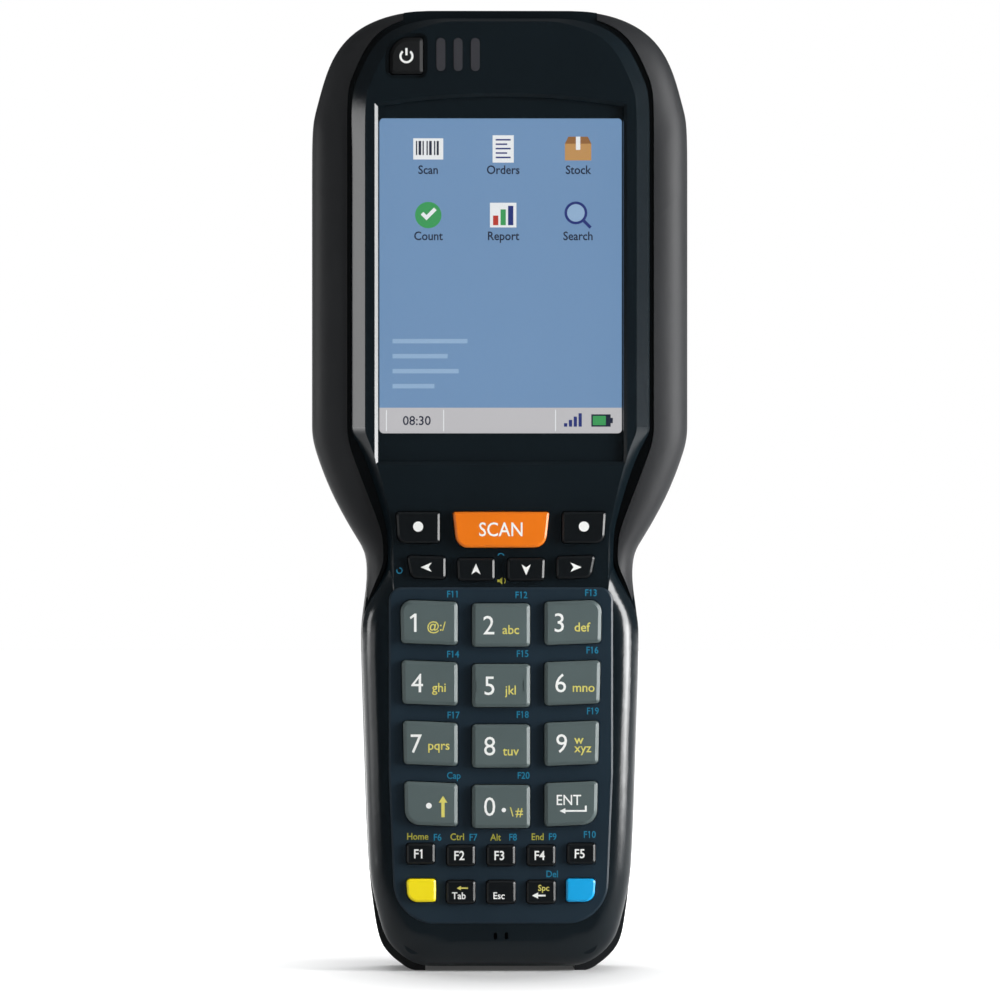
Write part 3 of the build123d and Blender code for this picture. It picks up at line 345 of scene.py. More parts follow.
# %% Finishes by name
finishes = {
    "front_cover": moulded("cover_plastic", screen_colour(15, 24, 29), 0.16, 0.22, specular=0.55),
    "keypad_panel": moulded("slate_panel", screen_colour(29, 44, 55), 0.30, 0.38, specular=0.35),
    "head_bumpers": moulded("guard_rubber", screen_colour(44, 45, 47), 0.46, 0.54, grain=0.34, depth=0.03,
                            specular=0.27),
    "rear_housing": moulded("rear_plastic", screen_colour(15, 19, 22), 0.36, 0.46, grain=0.25, depth=0.02),
    "housing_seal": moulded("gasket_rubber", screen_colour(14, 14, 15), 0.6, 0.7),
    "display_seal": moulded("display_foam", screen_colour(10, 12, 13), 0.7, 0.8, grain=0.3, depth=0.04),
    "display_module": moulded("display_frame", screen_colour(8, 10, 12), 0.4, 0.5),
    "chassis": moulded("pressed_sheet", screen_colour(170, 172, 174), 0.3, 0.4, metallic=1.0),
    "keypad_mat": moulded("mat_silicone", screen_colour(120, 124, 128), 0.5, 0.6),
    "keypad_board": moulded("board_green", screen_colour(18, 82, 52), 0.3, 0.4),
    "dome_switches": moulded("dome_steel", screen_colour(196, 196, 190), 0.2, 0.3, metallic=1.0),
    "keypad_flex": moulded("flex_amber", screen_colour(188, 116, 34), 0.25, 0.35),
    "main_board": moulded("board_green_main", screen_colour(18, 82, 52), 0.3, 0.4),
    "board_screws": moulded("small_screws", screen_colour(150, 150, 150), 0.3, 0.4, metallic=1.0),
    "radio_card": moulded("tinned_can", screen_colour(190, 190, 188), 0.25, 0.35, metallic=1.0),
    "status_lenses": moulded("smoky_lens", screen_colour(58, 58, 62), 0.10, 0.18, coat=0.5),
    "microphone": moulded("microphone_mesh", screen_colour(14, 14, 14), 0.6, 0.7),
    "speaker": moulded("speaker_body", screen_colour(24, 24, 25), 0.5, 0.6),
    "scan_window": moulded("scan_glass", screen_colour(46, 6, 10), 0.05, 0.09, depth=0.0004, coat=0.6),
    "scan_engine": moulded("engine_body", screen_colour(22, 22, 23), 0.4, 0.5),
    "engine_bracket": moulded("bracket_sheet", screen_colour(170, 172, 174), 0.3, 0.4, metallic=1.0),
    "dock_connector": moulded("dock_plastic", screen_colour(15, 16, 17), 0.35, 0.45),
    "housing_screws": moulded("black_screws", screen_colour(58, 58, 60), 0.3, 0.42, metallic=1.0),
    "strap_inserts": moulded("insert_brass", screen_colour(186, 150, 82), 0.25, 0.35, metallic=1.0),
    "battery_case": moulded("battery_plastic", screen_colour(18, 22, 25), 0.38, 0.48, grain=0.25, depth=0.02),
    "battery_cells": moulded("cell_wrap", screen_colour(56, 96, 140), 0.3, 0.4),
    "battery_contacts": moulded("contact_carrier", screen_colour(28, 28, 28), 0.4, 0.5),
    "battery_latch": moulded("latch_plastic", screen_colour(26, 30, 33), 0.36, 0.46, grain=0.25, depth=0.02),
    "latch_spring": moulded("spring_wire", screen_colour(170, 170, 170), 0.2, 0.3, metallic=1.0),
}
print(len(finishes), "pieces have a finish")

# %% [markdown]
# ## Finishes of the keys
# A keypad's caps are moulded in a few batches of coloured plastic, so its keys share a few finishes:
# grey for the numbers, black for the commands, one bright colour each for the scan, yellow and blue keys,
# and dull rubber for the power key. Painted caps would look the same when new, but wear through.

# %% Finishes of the keys
grey_key = moulded("grey_key", screen_colour(84, 97, 97), 0.34, 0.42, tone=0.05, specular=0.4)
black_key = moulded("black_key", screen_colour(15, 19, 22), 0.26, 0.34, specular=0.4)
orange_key = moulded("orange_key", screen_colour(236, 118, 8), 0.26, 0.34, tone=0.04)
yellow_key = moulded("yellow_key", screen_colour(250, 228, 6), 0.26, 0.34, tone=0.03)
blue_key = moulded("blue_key", screen_colour(4, 164, 226), 0.26, 0.34, tone=0.04)
power_rubber = moulded("power_rubber", screen_colour(16, 18, 20), 0.55, 0.65, grain=0.2, depth=0.01,
                       specular=0.3)
special = {"key_scan": orange_key, "key_yellow": yellow_key, "key_blue": blue_key, "key_power": power_rubber}
grey_names = ["key_" + ending for ending in "0 1 2 3 4 5 6 7 8 9 shift enter".split()]
for name in keys:
    finishes[name] = special.get(name, grey_key if name in grey_names else black_key)
print(len(grey_names), "grey keys,", len(special), "special ones and the rest black")

# %% [markdown]
# ## Touch glass
# The touch panel is clear, so light has to pass through it to the picture behind. A shader with
# full transmission does that; a faint smear in its gloss keeps it from looking like an empty hole.

# %% Touch glass
GLASS_IOR = 1.45
SMEAR_CHANGE = 30.0
SMEAR = 0.03

touch_glass = bpy.data.materials.new("touch_glass")
shader, parts, links = shader_of(touch_glass)
place = parts.new("ShaderNodeTexCoord")
smear = parts.new("ShaderNodeTexNoise")
smear.inputs["Scale"].default_value = SMEAR_CHANGE
smear.inputs["Detail"].default_value = 3.0
links.new(place.outputs["Object"], smear.inputs["Vector"])
links.new(between(parts, links, smear.outputs["Fac"], 0.0, 1.0, 0.0, SMEAR), shader.inputs["Roughness"])
shader.inputs["Base Color"].default_value = (0.97, 0.98, 0.98, 1)
shader.inputs["Transmission Weight"].default_value = 1.0
shader.inputs["IOR"].default_value = GLASS_IOR
finishes["touch_panel"] = touch_glass
print("touch glass slows light", GLASS_IOR, "times")

# %% [markdown]
# ## Finishes onto the pieces
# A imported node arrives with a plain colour. Its list of materials is emptied and the new finish put in, so
# every face takes it, and the mesh stays as it was packed.

# %% Put the finishes on
for name, finish in finishes.items():
    node = nodes[name]
    node.data.materials.clear()
    node.data.materials.append(finish)
print("finishes set on", len(finishes), "of", len(nodes), "nodes")

# %% [markdown]
# ## Latch spring
# The coil over the battery latch is pressed together when the latch slides up. A imported piece keeps its
# shape at every pose, so a copy of the coil stands in for it: the copy gets a mesh of its own and rides on
# the terminal's body, and the imported coil is hidden. A new helix could be drawn instead, but the imported
# coil already has the right wire and turns.

# %% Latch spring
pressed_spring = bpy.data.objects.new("pressed_spring", nodes["latch_spring"].data.copy())
bpy.context.scene.collection.objects.link(pressed_spring)
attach(pressed_spring, "terminal")
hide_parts("latch_spring")
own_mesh(pressed_spring)

# %% [markdown]
# ## Ink
# Legends are printed or laser-marked on real keys: a layer a few hundredths of a millimetre thick that
# stands on the face. Each mark here is a thin closed slab of that kind, cut from letters or from a drawn
# outline. The inks are dull and even, so they take the moulding recipe with hardly any grain. A decal
# image could stand in for them, but it would blur close up.

# %% Inks
INK = 0.03 * MM
SUNK = 0.01 * MM

inks = [
    moulded("white_ink", screen_colour(240, 241, 238), 0.40, 0.50, grain=0.08, depth=0.002, tone=0.02),
    moulded("yellow_ink", screen_colour(216, 207, 104), 0.40, 0.50, grain=0.08, depth=0.002, tone=0.03),
    moulded("blue_ink", screen_colour(16, 124, 160), 0.40, 0.50, grain=0.08, depth=0.002, tone=0.03),
    moulded("olive_ink", screen_colour(172, 168, 56), 0.40, 0.50, grain=0.08, depth=0.002, tone=0.03),
]
WHITE, YELLOW, BLUE, OLIVE = range(len(inks))
print(len(inks), "inks, laid", round(INK / MM, 3), "mm thick")

# %% [markdown]
# ## Flat slabs
# Every mark starts as an outline lying flat, which is then pushed up to the thickness of the ink and turned
# to stand on a key's face. A curve with a bevel could do that too; a slab made corner by corner stays
# closed and has no more faces than its shape needs.

# %% Flat slabs
def upright(mesh, x, z):
    """Turns a mesh drawn flat in X and Y to stand in X and Z at a place, with its face towards -Y."""
    mesh.transform(Matrix(((1, 0, 0, x), (0, 0, -1, 0), (0, 1, 0, z), (0, 0, 0, 1))))
    return mesh


def slab(made, points, thick):
    """Adds a flat shape with this thickness to a mesh being made, from its corners in metres."""
    face = made.faces.new([made.verts.new((x, y, -thick / 2)) for x, y in points])
    grown = bmesh.ops.extrude_face_region(made, geom=[face])
    top = [item for item in grown["geom"] if isinstance(item, bmesh.types.BMVert)]
    bmesh.ops.translate(made, verts=top, vec=(0, 0, thick))


def written(made, mesh):
    """Splits faces of many corners, turns all faces outwards and writes them to a mesh."""
    bmesh.ops.triangulate(made, faces=[face for face in made.faces if len(face.verts) > 4])
    bmesh.ops.recalc_face_normals(made, faces=made.faces)
    made.to_mesh(mesh)
    made.free()


print("a slab is", round((INK + SUNK) / MM, 3), "mm thick,", round(SUNK / MM, 3), "mm of it in the face")

# %% [markdown]
# ## The figure one
# Blender's own font draws its figure one as a bare stroke, which reads like a capital I. A keypad's one has
# a flag at its top. A plain stroke has eight corners, so each loose group of eight is drawn again with a
# flag. Another font would have it already, but a lesson that brings no files has only the built-in one.

# %% The figure one
STROKE_CORNERS = 8


def flag_the_ones(mesh, thick, flag):
    """Draws each plain upright stroke again as a figure one; its flag's reach is counted in strokes."""
    made = bmesh.new()
    made.from_mesh(mesh)
    bmesh.ops.remove_doubles(made, verts=made.verts, dist=1e-8)
    left = set(made.verts)
    strokes = []
    while left:
        group, edge = set(), [left.pop()]
        while edge:
            vert = edge.pop()
            group.add(vert)
            near = {other for link in vert.link_edges for other in link.verts} & left
            left -= near
            edge.extend(near)
        if len(group) == STROKE_CORNERS:
            strokes.append(group)
    for group in strokes:
        x0, x1 = min(v.co.x for v in group), max(v.co.x for v in group)
        y0, y1 = min(v.co.y for v in group), max(v.co.y for v in group)
        wide = x1 - x0
        bmesh.ops.delete(made, geom=list(group), context="VERTS")
        drop = 0.8 * flag * wide
        slab(made, [(x0, y0), (x1, y0), (x1, y1), (x0 + 0.15 * wide, y1), (x0 - flag * wide, y1 - drop),
                    (x0 - 0.8 * flag * wide, y1 - drop - 0.8 * wide), (x0, y1 - 1.25 * wide)], thick)
    written(made, mesh)


print("a plain stroke has", STROKE_CORNERS, "corners")

# %% [markdown]
# ## Letters
# A word is a text curve, which Blender turns into a closed mesh with the same thickness as the drawn marks.
# The font's capitals are 0.69 of its size, so the size follows from the height that a legend should have.
# A little boldness makes up for the thin strokes of small letters. Letters could be drawn by hand, but the
# built-in font is plain enough for a keypad.

# %% Letters
EM_SHARE = 0.69
CURVE_STEPS = 3
LONE_FLAG, WORD_FLAG = 1.7, 0.9


def word(ink, text, x, z, height, bold=0.0, squeeze=1.0, thick=INK + SUNK):
    """Letters of a height, centred on a place; all sizes in millimetres."""
    curve = bpy.data.curves.new("letters", "FONT")
    curve.body = text
    curve.align_x = "CENTER"
    curve.size = height * MM / EM_SHARE
    curve.extrude = thick / 2
    curve.offset = bold * MM
    curve.resolution_u = CURVE_STEPS
    holder = bpy.data.objects.new("letters", curve)
    bpy.context.scene.collection.objects.link(holder)
    bpy.context.view_layer.update()
    mesh = bpy.data.meshes.new_from_object(holder.evaluated_get(bpy.context.evaluated_depsgraph_get()))
    bpy.data.objects.remove(holder)
    if "1" in text:
        flag_the_ones(mesh, thick, LONE_FLAG if text == "1" else WORD_FLAG)
    mesh.transform(Matrix.Diagonal((squeeze, 1, 1, 1)))
    return ink, upright(mesh, x * MM, (z - height / 2) * MM)


print("capitals are", EM_SHARE, "of the font's size")

# %% [markdown]
# ## Drawn marks
# Arrows, dots, bars and parts of rings aren't letters, so they are outlines with their corners counted in
# millimetres from the middle of the mark. A disc of 28 corners is round at the size of a key.

# %% Drawn marks
DISC_CORNERS = 28
ARC_STEPS = 24


def outline(ink, points, x=0.0, z=0.0, thick=INK + SUNK):
    """A drawn shape, as corners in millimetres round a place."""
    mesh = bpy.data.meshes.new("outline")
    made = bmesh.new()
    slab(made, [(px * MM, pz * MM) for px, pz in points], thick)
    written(made, mesh)
    return ink, upright(mesh, x * MM, z * MM)


def disc(ink, x, z, diameter, thick=INK + SUNK):
    """A round dot."""
    turns = [2 * math.pi * corner / DISC_CORNERS for corner in range(DISC_CORNERS)]
    ring = [(math.cos(turn) * diameter / 2, math.sin(turn) * diameter / 2) for turn in turns]
    return outline(ink, ring, x, z, thick)


def bar(ink, x0, z0, x1, z1, thick=INK + SUNK):
    """A plain stroke between two corners."""
    return outline(ink, [(x0, z0), (x1, z0), (x1, z1), (x0, z1)], thick=thick)


def arc_band(ink, x, z, radius, width, start, end, thick=INK + SUNK):
    """Part of a ring, between two angles in degrees, counted from the top and clockwise."""
    turns = [math.radians(start + (end - start) * step / ARC_STEPS) for step in range(ARC_STEPS + 1)]
    outer = [(math.sin(t) * (radius + width / 2), math.cos(t) * (radius + width / 2)) for t in turns]
    inner = [(math.sin(t) * (radius - width / 2), math.cos(t) * (radius - width / 2)) for t in turns]
    return outline(ink, outer + inner[::-1], x, z, thick)


print("a disc has", DISC_CORNERS, "corners and an arc", ARC_STEPS, "steps")

# %% [markdown]
# ## Marks onto a face
# All marks of one key become one mesh, each with its own ink. Its back lies a hundredth of a millimetre
# inside the face, so that no gap shows and no two surfaces share a place. The piece rides on the body of
# its key, so a pressed key takes its legend along.

# %% Marks onto a face
def printed(name, body, front, centre, marks):
    """One piece from several marks, its back sunk a little in the face that it is printed on."""
    mesh = bpy.data.meshes.new(name)
    made = bmesh.new()
    for ink, mark in marks:
        for polygon in mark.polygons:
            polygon.material_index = ink
        depth = max(v.co.y for v in mark.vertices)
        mark.transform(Matrix.Translation((centre[0], front + SUNK - depth, centre[1])))
        made.from_mesh(mark)
        bpy.data.meshes.remove(mark)
    bmesh.ops.remove_doubles(made, verts=made.verts, dist=1e-7)
    made.to_mesh(mesh)
    made.free()
    for ink in inks:
        mesh.materials.append(ink)
    piece = bpy.data.objects.new(name, mesh)
    bpy.context.scene.collection.objects.link(piece)
    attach(piece, body)


print("marks are sunk", round(SUNK / MM, 3), "mm in their face")

# %% [markdown]
# ## Digits and letters
# The digits are a light upright face, 4.2 mm high, left of the middle. The letters that each key also
# gives stand to the right in yellow, about half as high. Each key is listed with the place of its digit
# and the text and place of its letters, in millimetres from the middle of the key.

# %% Digits and letters
DIGIT = 4.2
LETTER = 2.0

digit_marks = {
    "key_1": (-3.15, [("@:/", 1.6, -0.8)]),
    "key_2": (-2.8, [("abc", 2.2, -1.0)]),
    "key_3": (-3.1, [("def", 2.0, -1.0)]),
    "key_4": (-2.8, [("ghi", 2.15, -1.0)]),
    "key_5": (-2.6, [("jkl", 2.2, -1.0)]),
    "key_6": (-2.7, [("mno", 2.5, -1.0)]),
    "key_7": (-3.3, [("pqrs", 1.9, -0.4)]),
    "key_8": (-2.6, [("tuv", 2.2, -1.1)]),
    "key_9": (-2.3, [("w", 1.6, 0.9), ("xyz", 2.5, -1.0)]),
    "key_0": (-2.6, [("\\", 2.4, -1.2), ("#", 4.1, -1.2)]),
}
legends = {}
for name, (digit_x, letters) in digit_marks.items():
    marks = [word(WHITE, name[-1], digit_x, 0.0, DIGIT, squeeze=0.95)]
    marks += [word(YELLOW, text, x, z, LETTER, bold=0.02, squeeze=0.98) for text, x, z in letters]
    legends[name] = marks
print(len(legends), "keys have a digit")

# %% [markdown]
# ## Shift, dot and enter
# Three grey keys carry drawn signs: the zero key a dot beside its digit, the shift key a dot and an arrow,
# and the enter key its word over a bent arrow.

# %% Shift, dot and enter
def arrow_up(ink, x, z, height, head, stem):
    """An arrow that points up, drawn round its middle."""
    half = height / 2
    neck = half - head * 0.75
    points = [(-stem / 2, -half), (stem / 2, -half), (stem / 2, neck), (head / 2, neck), (0, half),
              (-head / 2, neck), (-stem / 2, neck)]
    return outline(ink, points, x, z)


legends["key_0"].append(disc(WHITE, 0.6, -0.8, 1.0))
legends["key_shift"] = [disc(WHITE, -0.5, -0.4, 1.3), arrow_up(YELLOW, 2.7, -0.6, 4.8, 2.0, 0.75)]
legends["key_enter"] = [
    word(WHITE, "ENT", -0.6, 0.9, 2.3, bold=0.02, squeeze=0.92),
    outline(WHITE, [(-2.6, -1.6), (-1.3, -0.95), (-1.3, -1.4), (3.1, -1.4), (3.1, -0.4), (3.55, -0.4),
                    (3.55, -1.8), (-1.3, -1.8), (-1.3, -2.25)]),
]
print(len(legends), "grey keys have legends")

# %% [markdown]
# ## Words on the small black keys
# The five function keys carry their names, and three command keys a word or an arrow in white. Two small
# yellow marks stand above them where the yellow key gives a key a second meaning. The letters are bold,
# because thin white strokes this small would fade into the black.

# %% Words on the small black keys
for number in range(1, 6):
    legends["key_f" + str(number)] = [word(WHITE, "F" + str(number), -0.4, 0.0, 2.0, bold=0.045, squeeze=0.9)]
legends["key_tab"] = [
    word(WHITE, "Tab", -0.45, -0.8, 1.5, bold=0.03, squeeze=0.95),
    outline(YELLOW, [(-0.95, 0.9), (0.0, 1.4), (0.0, 1.05), (1.6, 1.05), (1.6, 0.75), (0.0, 0.75),
                     (0.0, 0.4)]),
]
legends["key_escape"] = [word(WHITE, "Esc", -0.5, -0.8, 1.5, bold=0.03, squeeze=0.95)]
legends["key_backspace"] = [
    outline(WHITE, [(-2.1, -0.8), (-0.7, -0.1), (-0.7, -0.6), (1.0, -0.6), (1.0, -1.0), (-0.7, -1.0),
                    (-0.7, -1.5)]),
    word(YELLOW, "Spc", 0.55, 0.95, 1.3, bold=0.02),
]
print(len(legends), "keys have legends so far")

# %% [markdown]
# ## Signs on the upper keys
# The four arrows are one notched head, turned for each direction, so they can't differ. The soft keys have
# a dot, the scan key its word, and the power key the common sign of a broken ring and a bar.

# %% Signs on the upper keys
HEAD_RIGHT = [(1.35, 0.0), (-1.15, 1.05), (-0.45, 0.0), (-1.15, -1.05)]
legends["key_right"] = [outline(WHITE, HEAD_RIGHT)]
legends["key_left"] = [outline(WHITE, [(-x, z) for x, z in HEAD_RIGHT][::-1])]
legends["key_up"] = [outline(WHITE, [(-z, x) for x, z in HEAD_RIGHT])]
legends["key_down"] = [outline(WHITE, [(z, -x) for x, z in HEAD_RIGHT])]
for side in ("left", "right"):
    legends["key_soft_" + side] = [disc(WHITE, 0.0, 0.2, 2.3)]
legends["key_scan"] = [word(WHITE, "SCAN", 0.0, 0.1, 3.1, bold=0.03, squeeze=0.87)]
legends["key_power"] = [arc_band(WHITE, 0.0, -0.1, 1.35, 0.5, 38, 322), bar(WHITE, -0.25, 0.1, 0.25, 1.75)]
print(len(legends), "of", len(keys), "keys have legends; the yellow and blue keys stay plain")

# %% [markdown]
# ## Printing the keys
# A key's own box gives its middle and how far forward its face lies, and a legend is placed from there.
# Only the five key has raised marks for the finger in front of its face, so its legend takes the face of
# the four key beside it.

# %% Print the keys
for name, marks in legends.items():
    low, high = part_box(name)
    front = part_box("key_4")[0].y if name == "key_5" else low.y
    centre = ((low.x + high.x) / 2, (low.z + high.z) / 2)
    printed("legend_" + name[4:], name, front, centre, marks)
print(len(legends), "keys are printed")

# %% [markdown]
# ## Legends on the panel
# Second functions are named on the slate panel itself, over each key's corner: blue words for the blue
# key's layer and yellow ones for the yellow key's. They are 1.5 mm high, so their strokes are made a little
# bolder to stay readable. On a real panel they are screen-printed in one pass, so here they are one piece.

# %% Panel legends
SMALL = 1.5


def small_words(ink, words):
    """Small words of one ink, each with its text and its place on the panel."""
    return [word(ink, text, x, z, SMALL, bold=0.02, squeeze=0.9) for text, x, z in words]


blue_words = [
    ("F11", -10.9, 85.7), ("F12", 4.6, 85.5), ("F13", 20.4, 86.0),
    ("F14", -10.9, 72.1), ("F15", 4.9, 72.2), ("F16", 20.7, 73.0),
    ("F17", -10.8, 58.3), ("F18", 4.9, 58.4), ("F19", 20.8, 59.2),
    ("Cap", -10.7, 44.6), ("F20", 5.1, 44.6),
    ("F6", -14.4, 30.6), ("F7", -6.3, 30.6), ("F8", 2.7, 30.6), ("F9", 11.7, 30.7), ("F10", 20.1, 31.2),
    ("Del", 11.6, 22.25),
]
yellow_words = [("Home", -18.9, 30.8), ("Ctrl", -9.9, 30.7), ("Alt", -1.2, 30.6), ("End", 8.3, 30.7)]
panel_marks = small_words(BLUE, blue_words) + small_words(OLIVE, yellow_words)
printed("legends_panel", "terminal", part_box("keypad_panel")[0].y, (0, 0), panel_marks)
print(len(panel_marks), "words on the panel")

# %% [markdown]
# ## Signs on the cover
# Three tiny signs stand on the glossy cover round the arrow keys: a loudspeaker with one sound wave, an arc
# and an open ring. They name what the arrows do together with the yellow and blue keys.

# %% Cover signs
cover_marks = [
    outline(OLIVE, [(-0.8, 88.4), (-0.3, 88.4), (0.3, 87.9), (0.3, 89.5), (-0.3, 89.0), (-0.8, 89.0)]),
    arc_band(OLIVE, 0.3, 88.7, 0.7, 0.2, 40, 140),
    arc_band(BLUE, 0.0, 94.2, 0.7, 0.25, -70, 70),
    arc_band(BLUE, -23.0, 91.0, 0.6, 0.25, 0, 300),
]
printed("legends_cover", "terminal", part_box("front_cover")[0].y, (0, 0), cover_marks)
print(len(cover_marks), "marks on the cover")

# %% [markdown]
# ## The picture on the display
# A display makes its own light, so its picture is emission. Its dots, 0.223 mm apart, show as a faint grid
# in the glow: a brick pattern without an offset has that shape, with its mortar as the dark gaps between
# dots. The glow also varies a little from place to place, as a backlight does. An image file would be the
# usual way to fill a screen, but drawn shapes stay sharp at any distance.

# %% Glowing colours
DOT = 0.223 * MM
GAP_SHARE = 0.07
GAP_SHADE = 0.86
NEXT_DOT_SHADE = 0.985
BACKLIGHT_CHANGE = 25.0


def glowing(name, colour):
    """A colour that the display gives off, with the faint grid of its dots."""
    finish = bpy.data.materials.new(name)
    shader, parts, links = shader_of(finish)
    place = parts.new("ShaderNodeTexCoord")
    turned = parts.new("ShaderNodeMapping")
    turned.inputs["Rotation"].default_value = (math.radians(90), 0, 0)
    grid = parts.new("ShaderNodeTexBrick")
    grid.offset = 0.0
    grid.inputs["Scale"].default_value = 1.0
    grid.inputs["Brick Width"].default_value = DOT
    grid.inputs["Row Height"].default_value = DOT
    grid.inputs["Mortar Size"].default_value = DOT * GAP_SHARE
    grid.inputs["Color1"].default_value = colour
    grid.inputs["Color2"].default_value = scaled(colour, NEXT_DOT_SHADE)
    grid.inputs["Mortar"].default_value = scaled(colour, GAP_SHADE)
    uneven = parts.new("ShaderNodeTexNoise")
    uneven.inputs["Scale"].default_value = BACKLIGHT_CHANGE
    links.new(place.outputs["Object"], turned.inputs["Vector"])
    links.new(turned.outputs["Vector"], grid.inputs["Vector"])
    links.new(place.outputs["Object"], uneven.inputs["Vector"])
    links.new(grid.outputs["Color"], shader.inputs["Emission Color"])
    for socket, low, high in (("Emission Strength", 0.97, 1.05), ("Roughness", 0.35, 0.5)):
        links.new(between(parts, links, uneven.outputs["Fac"], 0.0, 1.0, low, high), shader.inputs[socket])
    shader.inputs["Base Color"].default_value = (0.01, 0.01, 0.01, 1)
    shader.inputs["Specular IOR Level"].default_value = 0.2
    return finish


glows = [
    glowing("glow_field", screen_colour(116, 150, 189)),
    glowing("glow_bar", screen_colour(197, 195, 198)),
    glowing("glow_white", screen_colour(240, 242, 244)),
    glowing("glow_ink", screen_colour(30, 36, 58)),
    glowing("glow_tan", screen_colour(196, 148, 92)),
    glowing("glow_brown", screen_colour(150, 104, 62)),
    glowing("glow_green", screen_colour(64, 158, 92)),
    glowing("glow_navy", screen_colour(40, 52, 120)),
    glowing("glow_red", screen_colour(190, 62, 52)),
    glowing("glow_pale", screen_colour(150, 180, 212)),
]
FIELD, STRIP, CARD, DARK, TAN, BROWN, GREEN, NAVY, RED, PALE = range(len(glows))
print(len(glows), "glowing colours, with", round(1 / (DOT / MM), 1), "dots to the millimetre")

# %% [markdown]
# ## Layers of the screen
# The picture is a blue sheet with flat shapes laid on it like cut paper: a pale strip at its foot, then
# shapes, then details on the shapes. Each layer lies 0.012 mm in front of the one before it, too little
# to see and enough to keep them apart. The sheet reaches 0.3 mm behind the edge of the opening, so that no
# gap shows beside it.

# %% Layers of the screen
LEFT, RIGHT, LOW, TOP = -27.5, 27.5, 122.1, 193.5
STRIP_TOP = 127.9
TUCK = 0.3
SHEET = 0.1 * MM
STEP = 0.012 * MM
CAPTION = 1.9

sheet_marks = [bar(FIELD, LEFT - TUCK, LOW - TUCK, RIGHT + TUCK, TOP + TUCK, thick=SHEET)]
strip_marks = [bar(STRIP, LEFT - TUCK, LOW - TUCK, RIGHT + TUCK, STRIP_TOP, thick=STEP)]
shape_marks = []
detail_marks = []


def shape(draw, *sizes, **looks):
    """Lays a mark on the sheet."""
    shape_marks.append(draw(*sizes, thick=STEP, **looks))


def detail(draw, *sizes):
    """Lays a mark on a shape."""
    detail_marks.append(draw(*sizes, thick=STEP))


def caption(text, x, z):
    """A word under a picture."""
    shape(word, DARK, text, x, z, CAPTION, bold=0.04, squeeze=0.92)


print("the screen is", RIGHT - LEFT, "by", round(TOP - LOW, 1), "mm")

# %% [markdown]
# ## Six icons
# A stock-taking screen needs little: a ticket with stripes to scan, a written sheet, a parcel, a tick, a
# chart and a magnifying glass. Each is a function that draws its icon round a place, from a card or a disc
# and a few details, so that an icon can be moved without drawing it again.

# %% Six icons
def sheet_icon(x, z):
    """A white sheet with five written lines."""
    shape(bar, CARD, x - 2.4, z - 3.1, x + 2.4, z + 3.1)
    for row in range(5):
        end = x + (1.7 if row % 2 == 0 else 0.9)
        detail(bar, NAVY, x - 1.7, z + 1.9 - row, end, z + 2.25 - row)


def code_icon(x, z):
    """A white ticket with stripes, as pairs of a gap and a width from the left."""
    shape(bar, CARD, x - 3.4, z - 2.4, x + 3.4, z + 2.4)
    pairs = [(0, 0.3), (0.3, 0.6), (0.3, 0.3), (0.6, 0.3), (0.3, 0.6), (0.5, 0.3), (0.3, 0.5)]
    left = x - 2.8
    for gap, width in pairs:
        left += gap
        detail(bar, DARK, left, z - 1.4, left + width, z + 1.8)
        left += width


def parcel_icon(x, z):
    """A box with a lid and a strip of tape."""
    shape(bar, TAN, x - 3.0, z - 2.6, x + 3.0, z + 1.2)
    shape(outline, BROWN, [(-3.0, 1.2), (3.0, 1.2), (2.2, 2.8), (-2.2, 2.8)], x, z)
    detail(bar, CARD, x - 0.5, z - 0.2, x + 0.5, z + 2.8)


def tick_icon(x, z):
    """A green disc with a white tick."""
    shape(disc, GREEN, x, z, 6.0)
    detail(outline, CARD, [(-1.7, 0.1), (-1.1, 0.7), (-0.4, 0.0), (1.3, 1.7), (1.9, 1.1), (-0.4, -1.2)], x, z)


def lens_icon(x, z):
    """A magnifying glass."""
    shape(disc, PALE, x - 0.5, z + 0.5, 4.6)
    detail(arc_band, NAVY, x - 0.5, z + 0.5, 2.3, 0.6, 0, 359.9)
    detail(outline, NAVY, [(1.0, -1.5), (1.5, -1.0), (3.1, -2.6), (2.6, -3.1)], x, z)


def chart_icon(x, z):
    """Three bars on a white card."""
    shape(bar, CARD, x - 3.0, z - 2.8, x + 3.0, z + 2.8)
    for place, (height, colour) in enumerate(((2.2, RED), (3.6, GREEN), (4.4, NAVY))):
        left = x - 2.3 + place * 1.7
        detail(bar, colour, left, z - 2.3, left + 1.2, z - 2.3 + height)


icons = {"Scan": code_icon, "Orders": sheet_icon, "Stock": parcel_icon,
         "Count": tick_icon, "Report": chart_icon, "Search": lens_icon}
print("icons:", ", ".join(icons))

# %% [markdown]
# ## Layout of the screen
# The icons stand in two rows of three with their names below them, and four pale lines of text fill the
# space further down. The places are millimetres on the terminal, from its middle and from its foot.

# %% Layout of the screen
COLUMNS = (-16.4, 0.6, 17.6)
ROWS = (186.6, 171.6)
CAPTION_DROP = 4.7
TEXT_LEFT, TEXT_TOP = -24.5, 143.0
LINE_PITCH = 3.4
TEXT_LINES = (17.0, 12.5, 15.0, 9.5)

for place, (text, draw) in enumerate(icons.items()):
    x = COLUMNS[place % len(COLUMNS)]
    z = ROWS[place // len(COLUMNS)]
    draw(x, z)
    caption(text, x, z - CAPTION_DROP)
for row, length in enumerate(TEXT_LINES):
    z = TEXT_TOP - row * LINE_PITCH
    shape(bar, PALE, TEXT_LEFT, z - 0.5, TEXT_LEFT + length, z + 0.5)
print(len(icons), "icons and", len(TEXT_LINES), "lines of text")

# %% [markdown]
# ## Strip at the foot of the screen
# A clock, three dividing lines, four rising bars for the radio and a part-filled battery stand on the pale
# strip. All but the clock are plain bars, because signs this small are read by their outline alone.

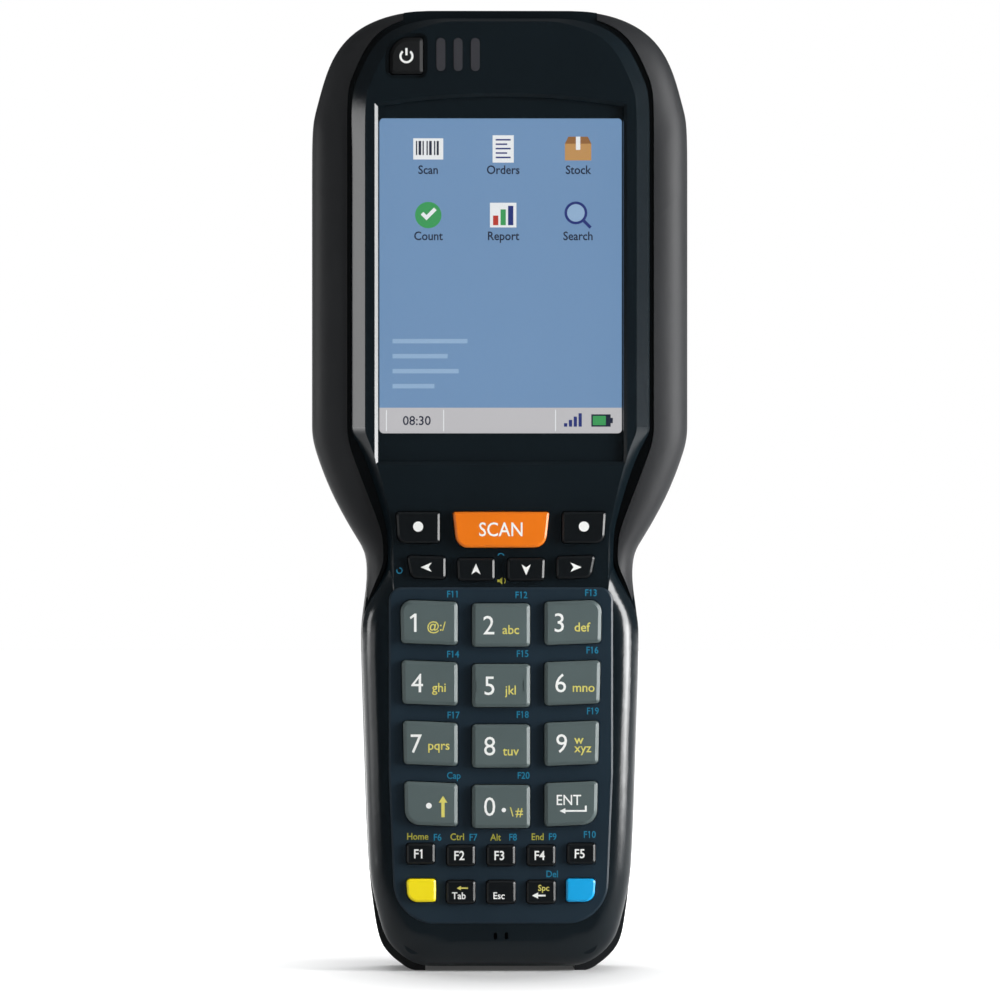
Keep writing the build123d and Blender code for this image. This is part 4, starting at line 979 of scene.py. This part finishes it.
# %% Strip at the foot
shape(word, DARK, "08:30", -19.0, 125.0, 2.0, bold=0.03)
for x in (-26.0, -13.0, 12.4):
    shape(bar, CARD, x, 122.6, x + 0.2, 127.4)
for place in range(4):
    left = 14.4 + place * 1.1
    shape(bar, NAVY, left, 123.6, left + 0.75, 124.4 + place * 0.75)
shape(bar, DARK, 20.6, 123.6, 25.0, 126.4)
shape(bar, DARK, 25.0, 124.4, 25.5, 125.6)
detail(bar, GREEN, 20.95, 123.95, 23.9, 126.05)
print(len(shape_marks), "shapes and", len(detail_marks), "details on the screen")

# %% [markdown]
# ## The picture as one piece
# All layers join into one mesh just behind the touch glass. The display module has a bezel 0.3 mm deep, and
# the sheet stands in it with a hundredth of a millimetre to spare behind. Each further layer starts on the
# front of the one before it. One piece per layer would show the same, with four pieces to keep in place.

# %% Picture piece
BEZEL = 0.3 * MM
SLACK = 0.01 * MM

front_of_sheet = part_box("display_module")[0].y + BEZEL - SLACK - SHEET
layers = (sheet_marks, strip_marks, shape_marks, detail_marks)
picture_mesh = bpy.data.meshes.new("display_picture")
made = bmesh.new()
for level, marks in enumerate(layers):
    back_face = front_of_sheet - level * STEP + (SHEET if level == 0 else STEP)
    for ink, mark in marks:
        for polygon in mark.polygons:
            polygon.material_index = ink
        deepest = max(v.co.y for v in mark.vertices)
        mark.transform(Matrix.Translation((0, back_face - deepest, 0)))
        made.from_mesh(mark)
        bpy.data.meshes.remove(mark)
made.to_mesh(picture_mesh)
made.free()
for finish in glows:
    picture_mesh.materials.append(finish)
picture = bpy.data.objects.new("display_picture", picture_mesh)
bpy.context.scene.collection.objects.link(picture)
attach(picture, "terminal")
print("the picture has", len(picture_mesh.polygons), "faces in", sum(map(len, layers)), "marks")

# %% [markdown]
# ## Blank rating label
# The back of the head has a shallow seat for a rating label. The label is left blank, a sheet of silvered
# film with rounded corners, a little thinner than its seat is deep. It is drawn corner by corner, like the
# ink, because a box with a bevel would round its thin edges too.

# %% Label
HALF_WIDE, HALF_HIGH = 22.8 * MM, 13.3 * MM
CORNER = 1.8 * MM
CORNER_STEPS = 6
FILM_IN, FILM_OUT = 0.3 * MM, 0.12 * MM
LABEL_HEIGHT = 152.0 * MM

label_film = moulded("label_film", screen_colour(158, 160, 162), 0.32, 0.42, grain=0.2, depth=0.003,
                     tone=0.03, metallic=0.6)


def rounded_sheet(name, half_width, half_height, radius, front, back, centre_z):
    """A thin closed sheet with rounded corners, facing the back."""
    corners = []
    for sign_x, sign_z, start in ((1, 1, 0), (-1, 1, 90), (-1, -1, 180), (1, -1, 270)):
        for step in range(CORNER_STEPS + 1):
            turn = math.radians(start + 90 * step / CORNER_STEPS)
            corners.append((sign_x * (half_width - radius) + radius * math.cos(turn),
                            centre_z + sign_z * (half_height - radius) + radius * math.sin(turn)))
    mesh = bpy.data.meshes.new(name)
    made = bmesh.new()
    face = made.faces.new([made.verts.new((x, front, z)) for x, z in corners])
    grown = bmesh.ops.extrude_face_region(made, geom=[face])
    far = [item for item in grown["geom"] if isinstance(item, bmesh.types.BMVert)]
    bmesh.ops.translate(made, verts=far, vec=(0, back - front, 0))
    bmesh.ops.recalc_face_normals(made, faces=made.faces)
    made.to_mesh(mesh)
    made.free()
    return bpy.data.objects.new(name, mesh)


back_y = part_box("rear_housing")[1].y
rating_label = rounded_sheet("blank_label", HALF_WIDE, HALF_HIGH, CORNER, back_y - FILM_IN, back_y - FILM_OUT,
                             LABEL_HEIGHT)
bpy.context.scene.collection.objects.link(rating_label)
rating_label.data.materials.append(label_film)
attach(rating_label, "terminal")
print("label", [round(side / MM, 1) for side in rating_label.dimensions], "mm")
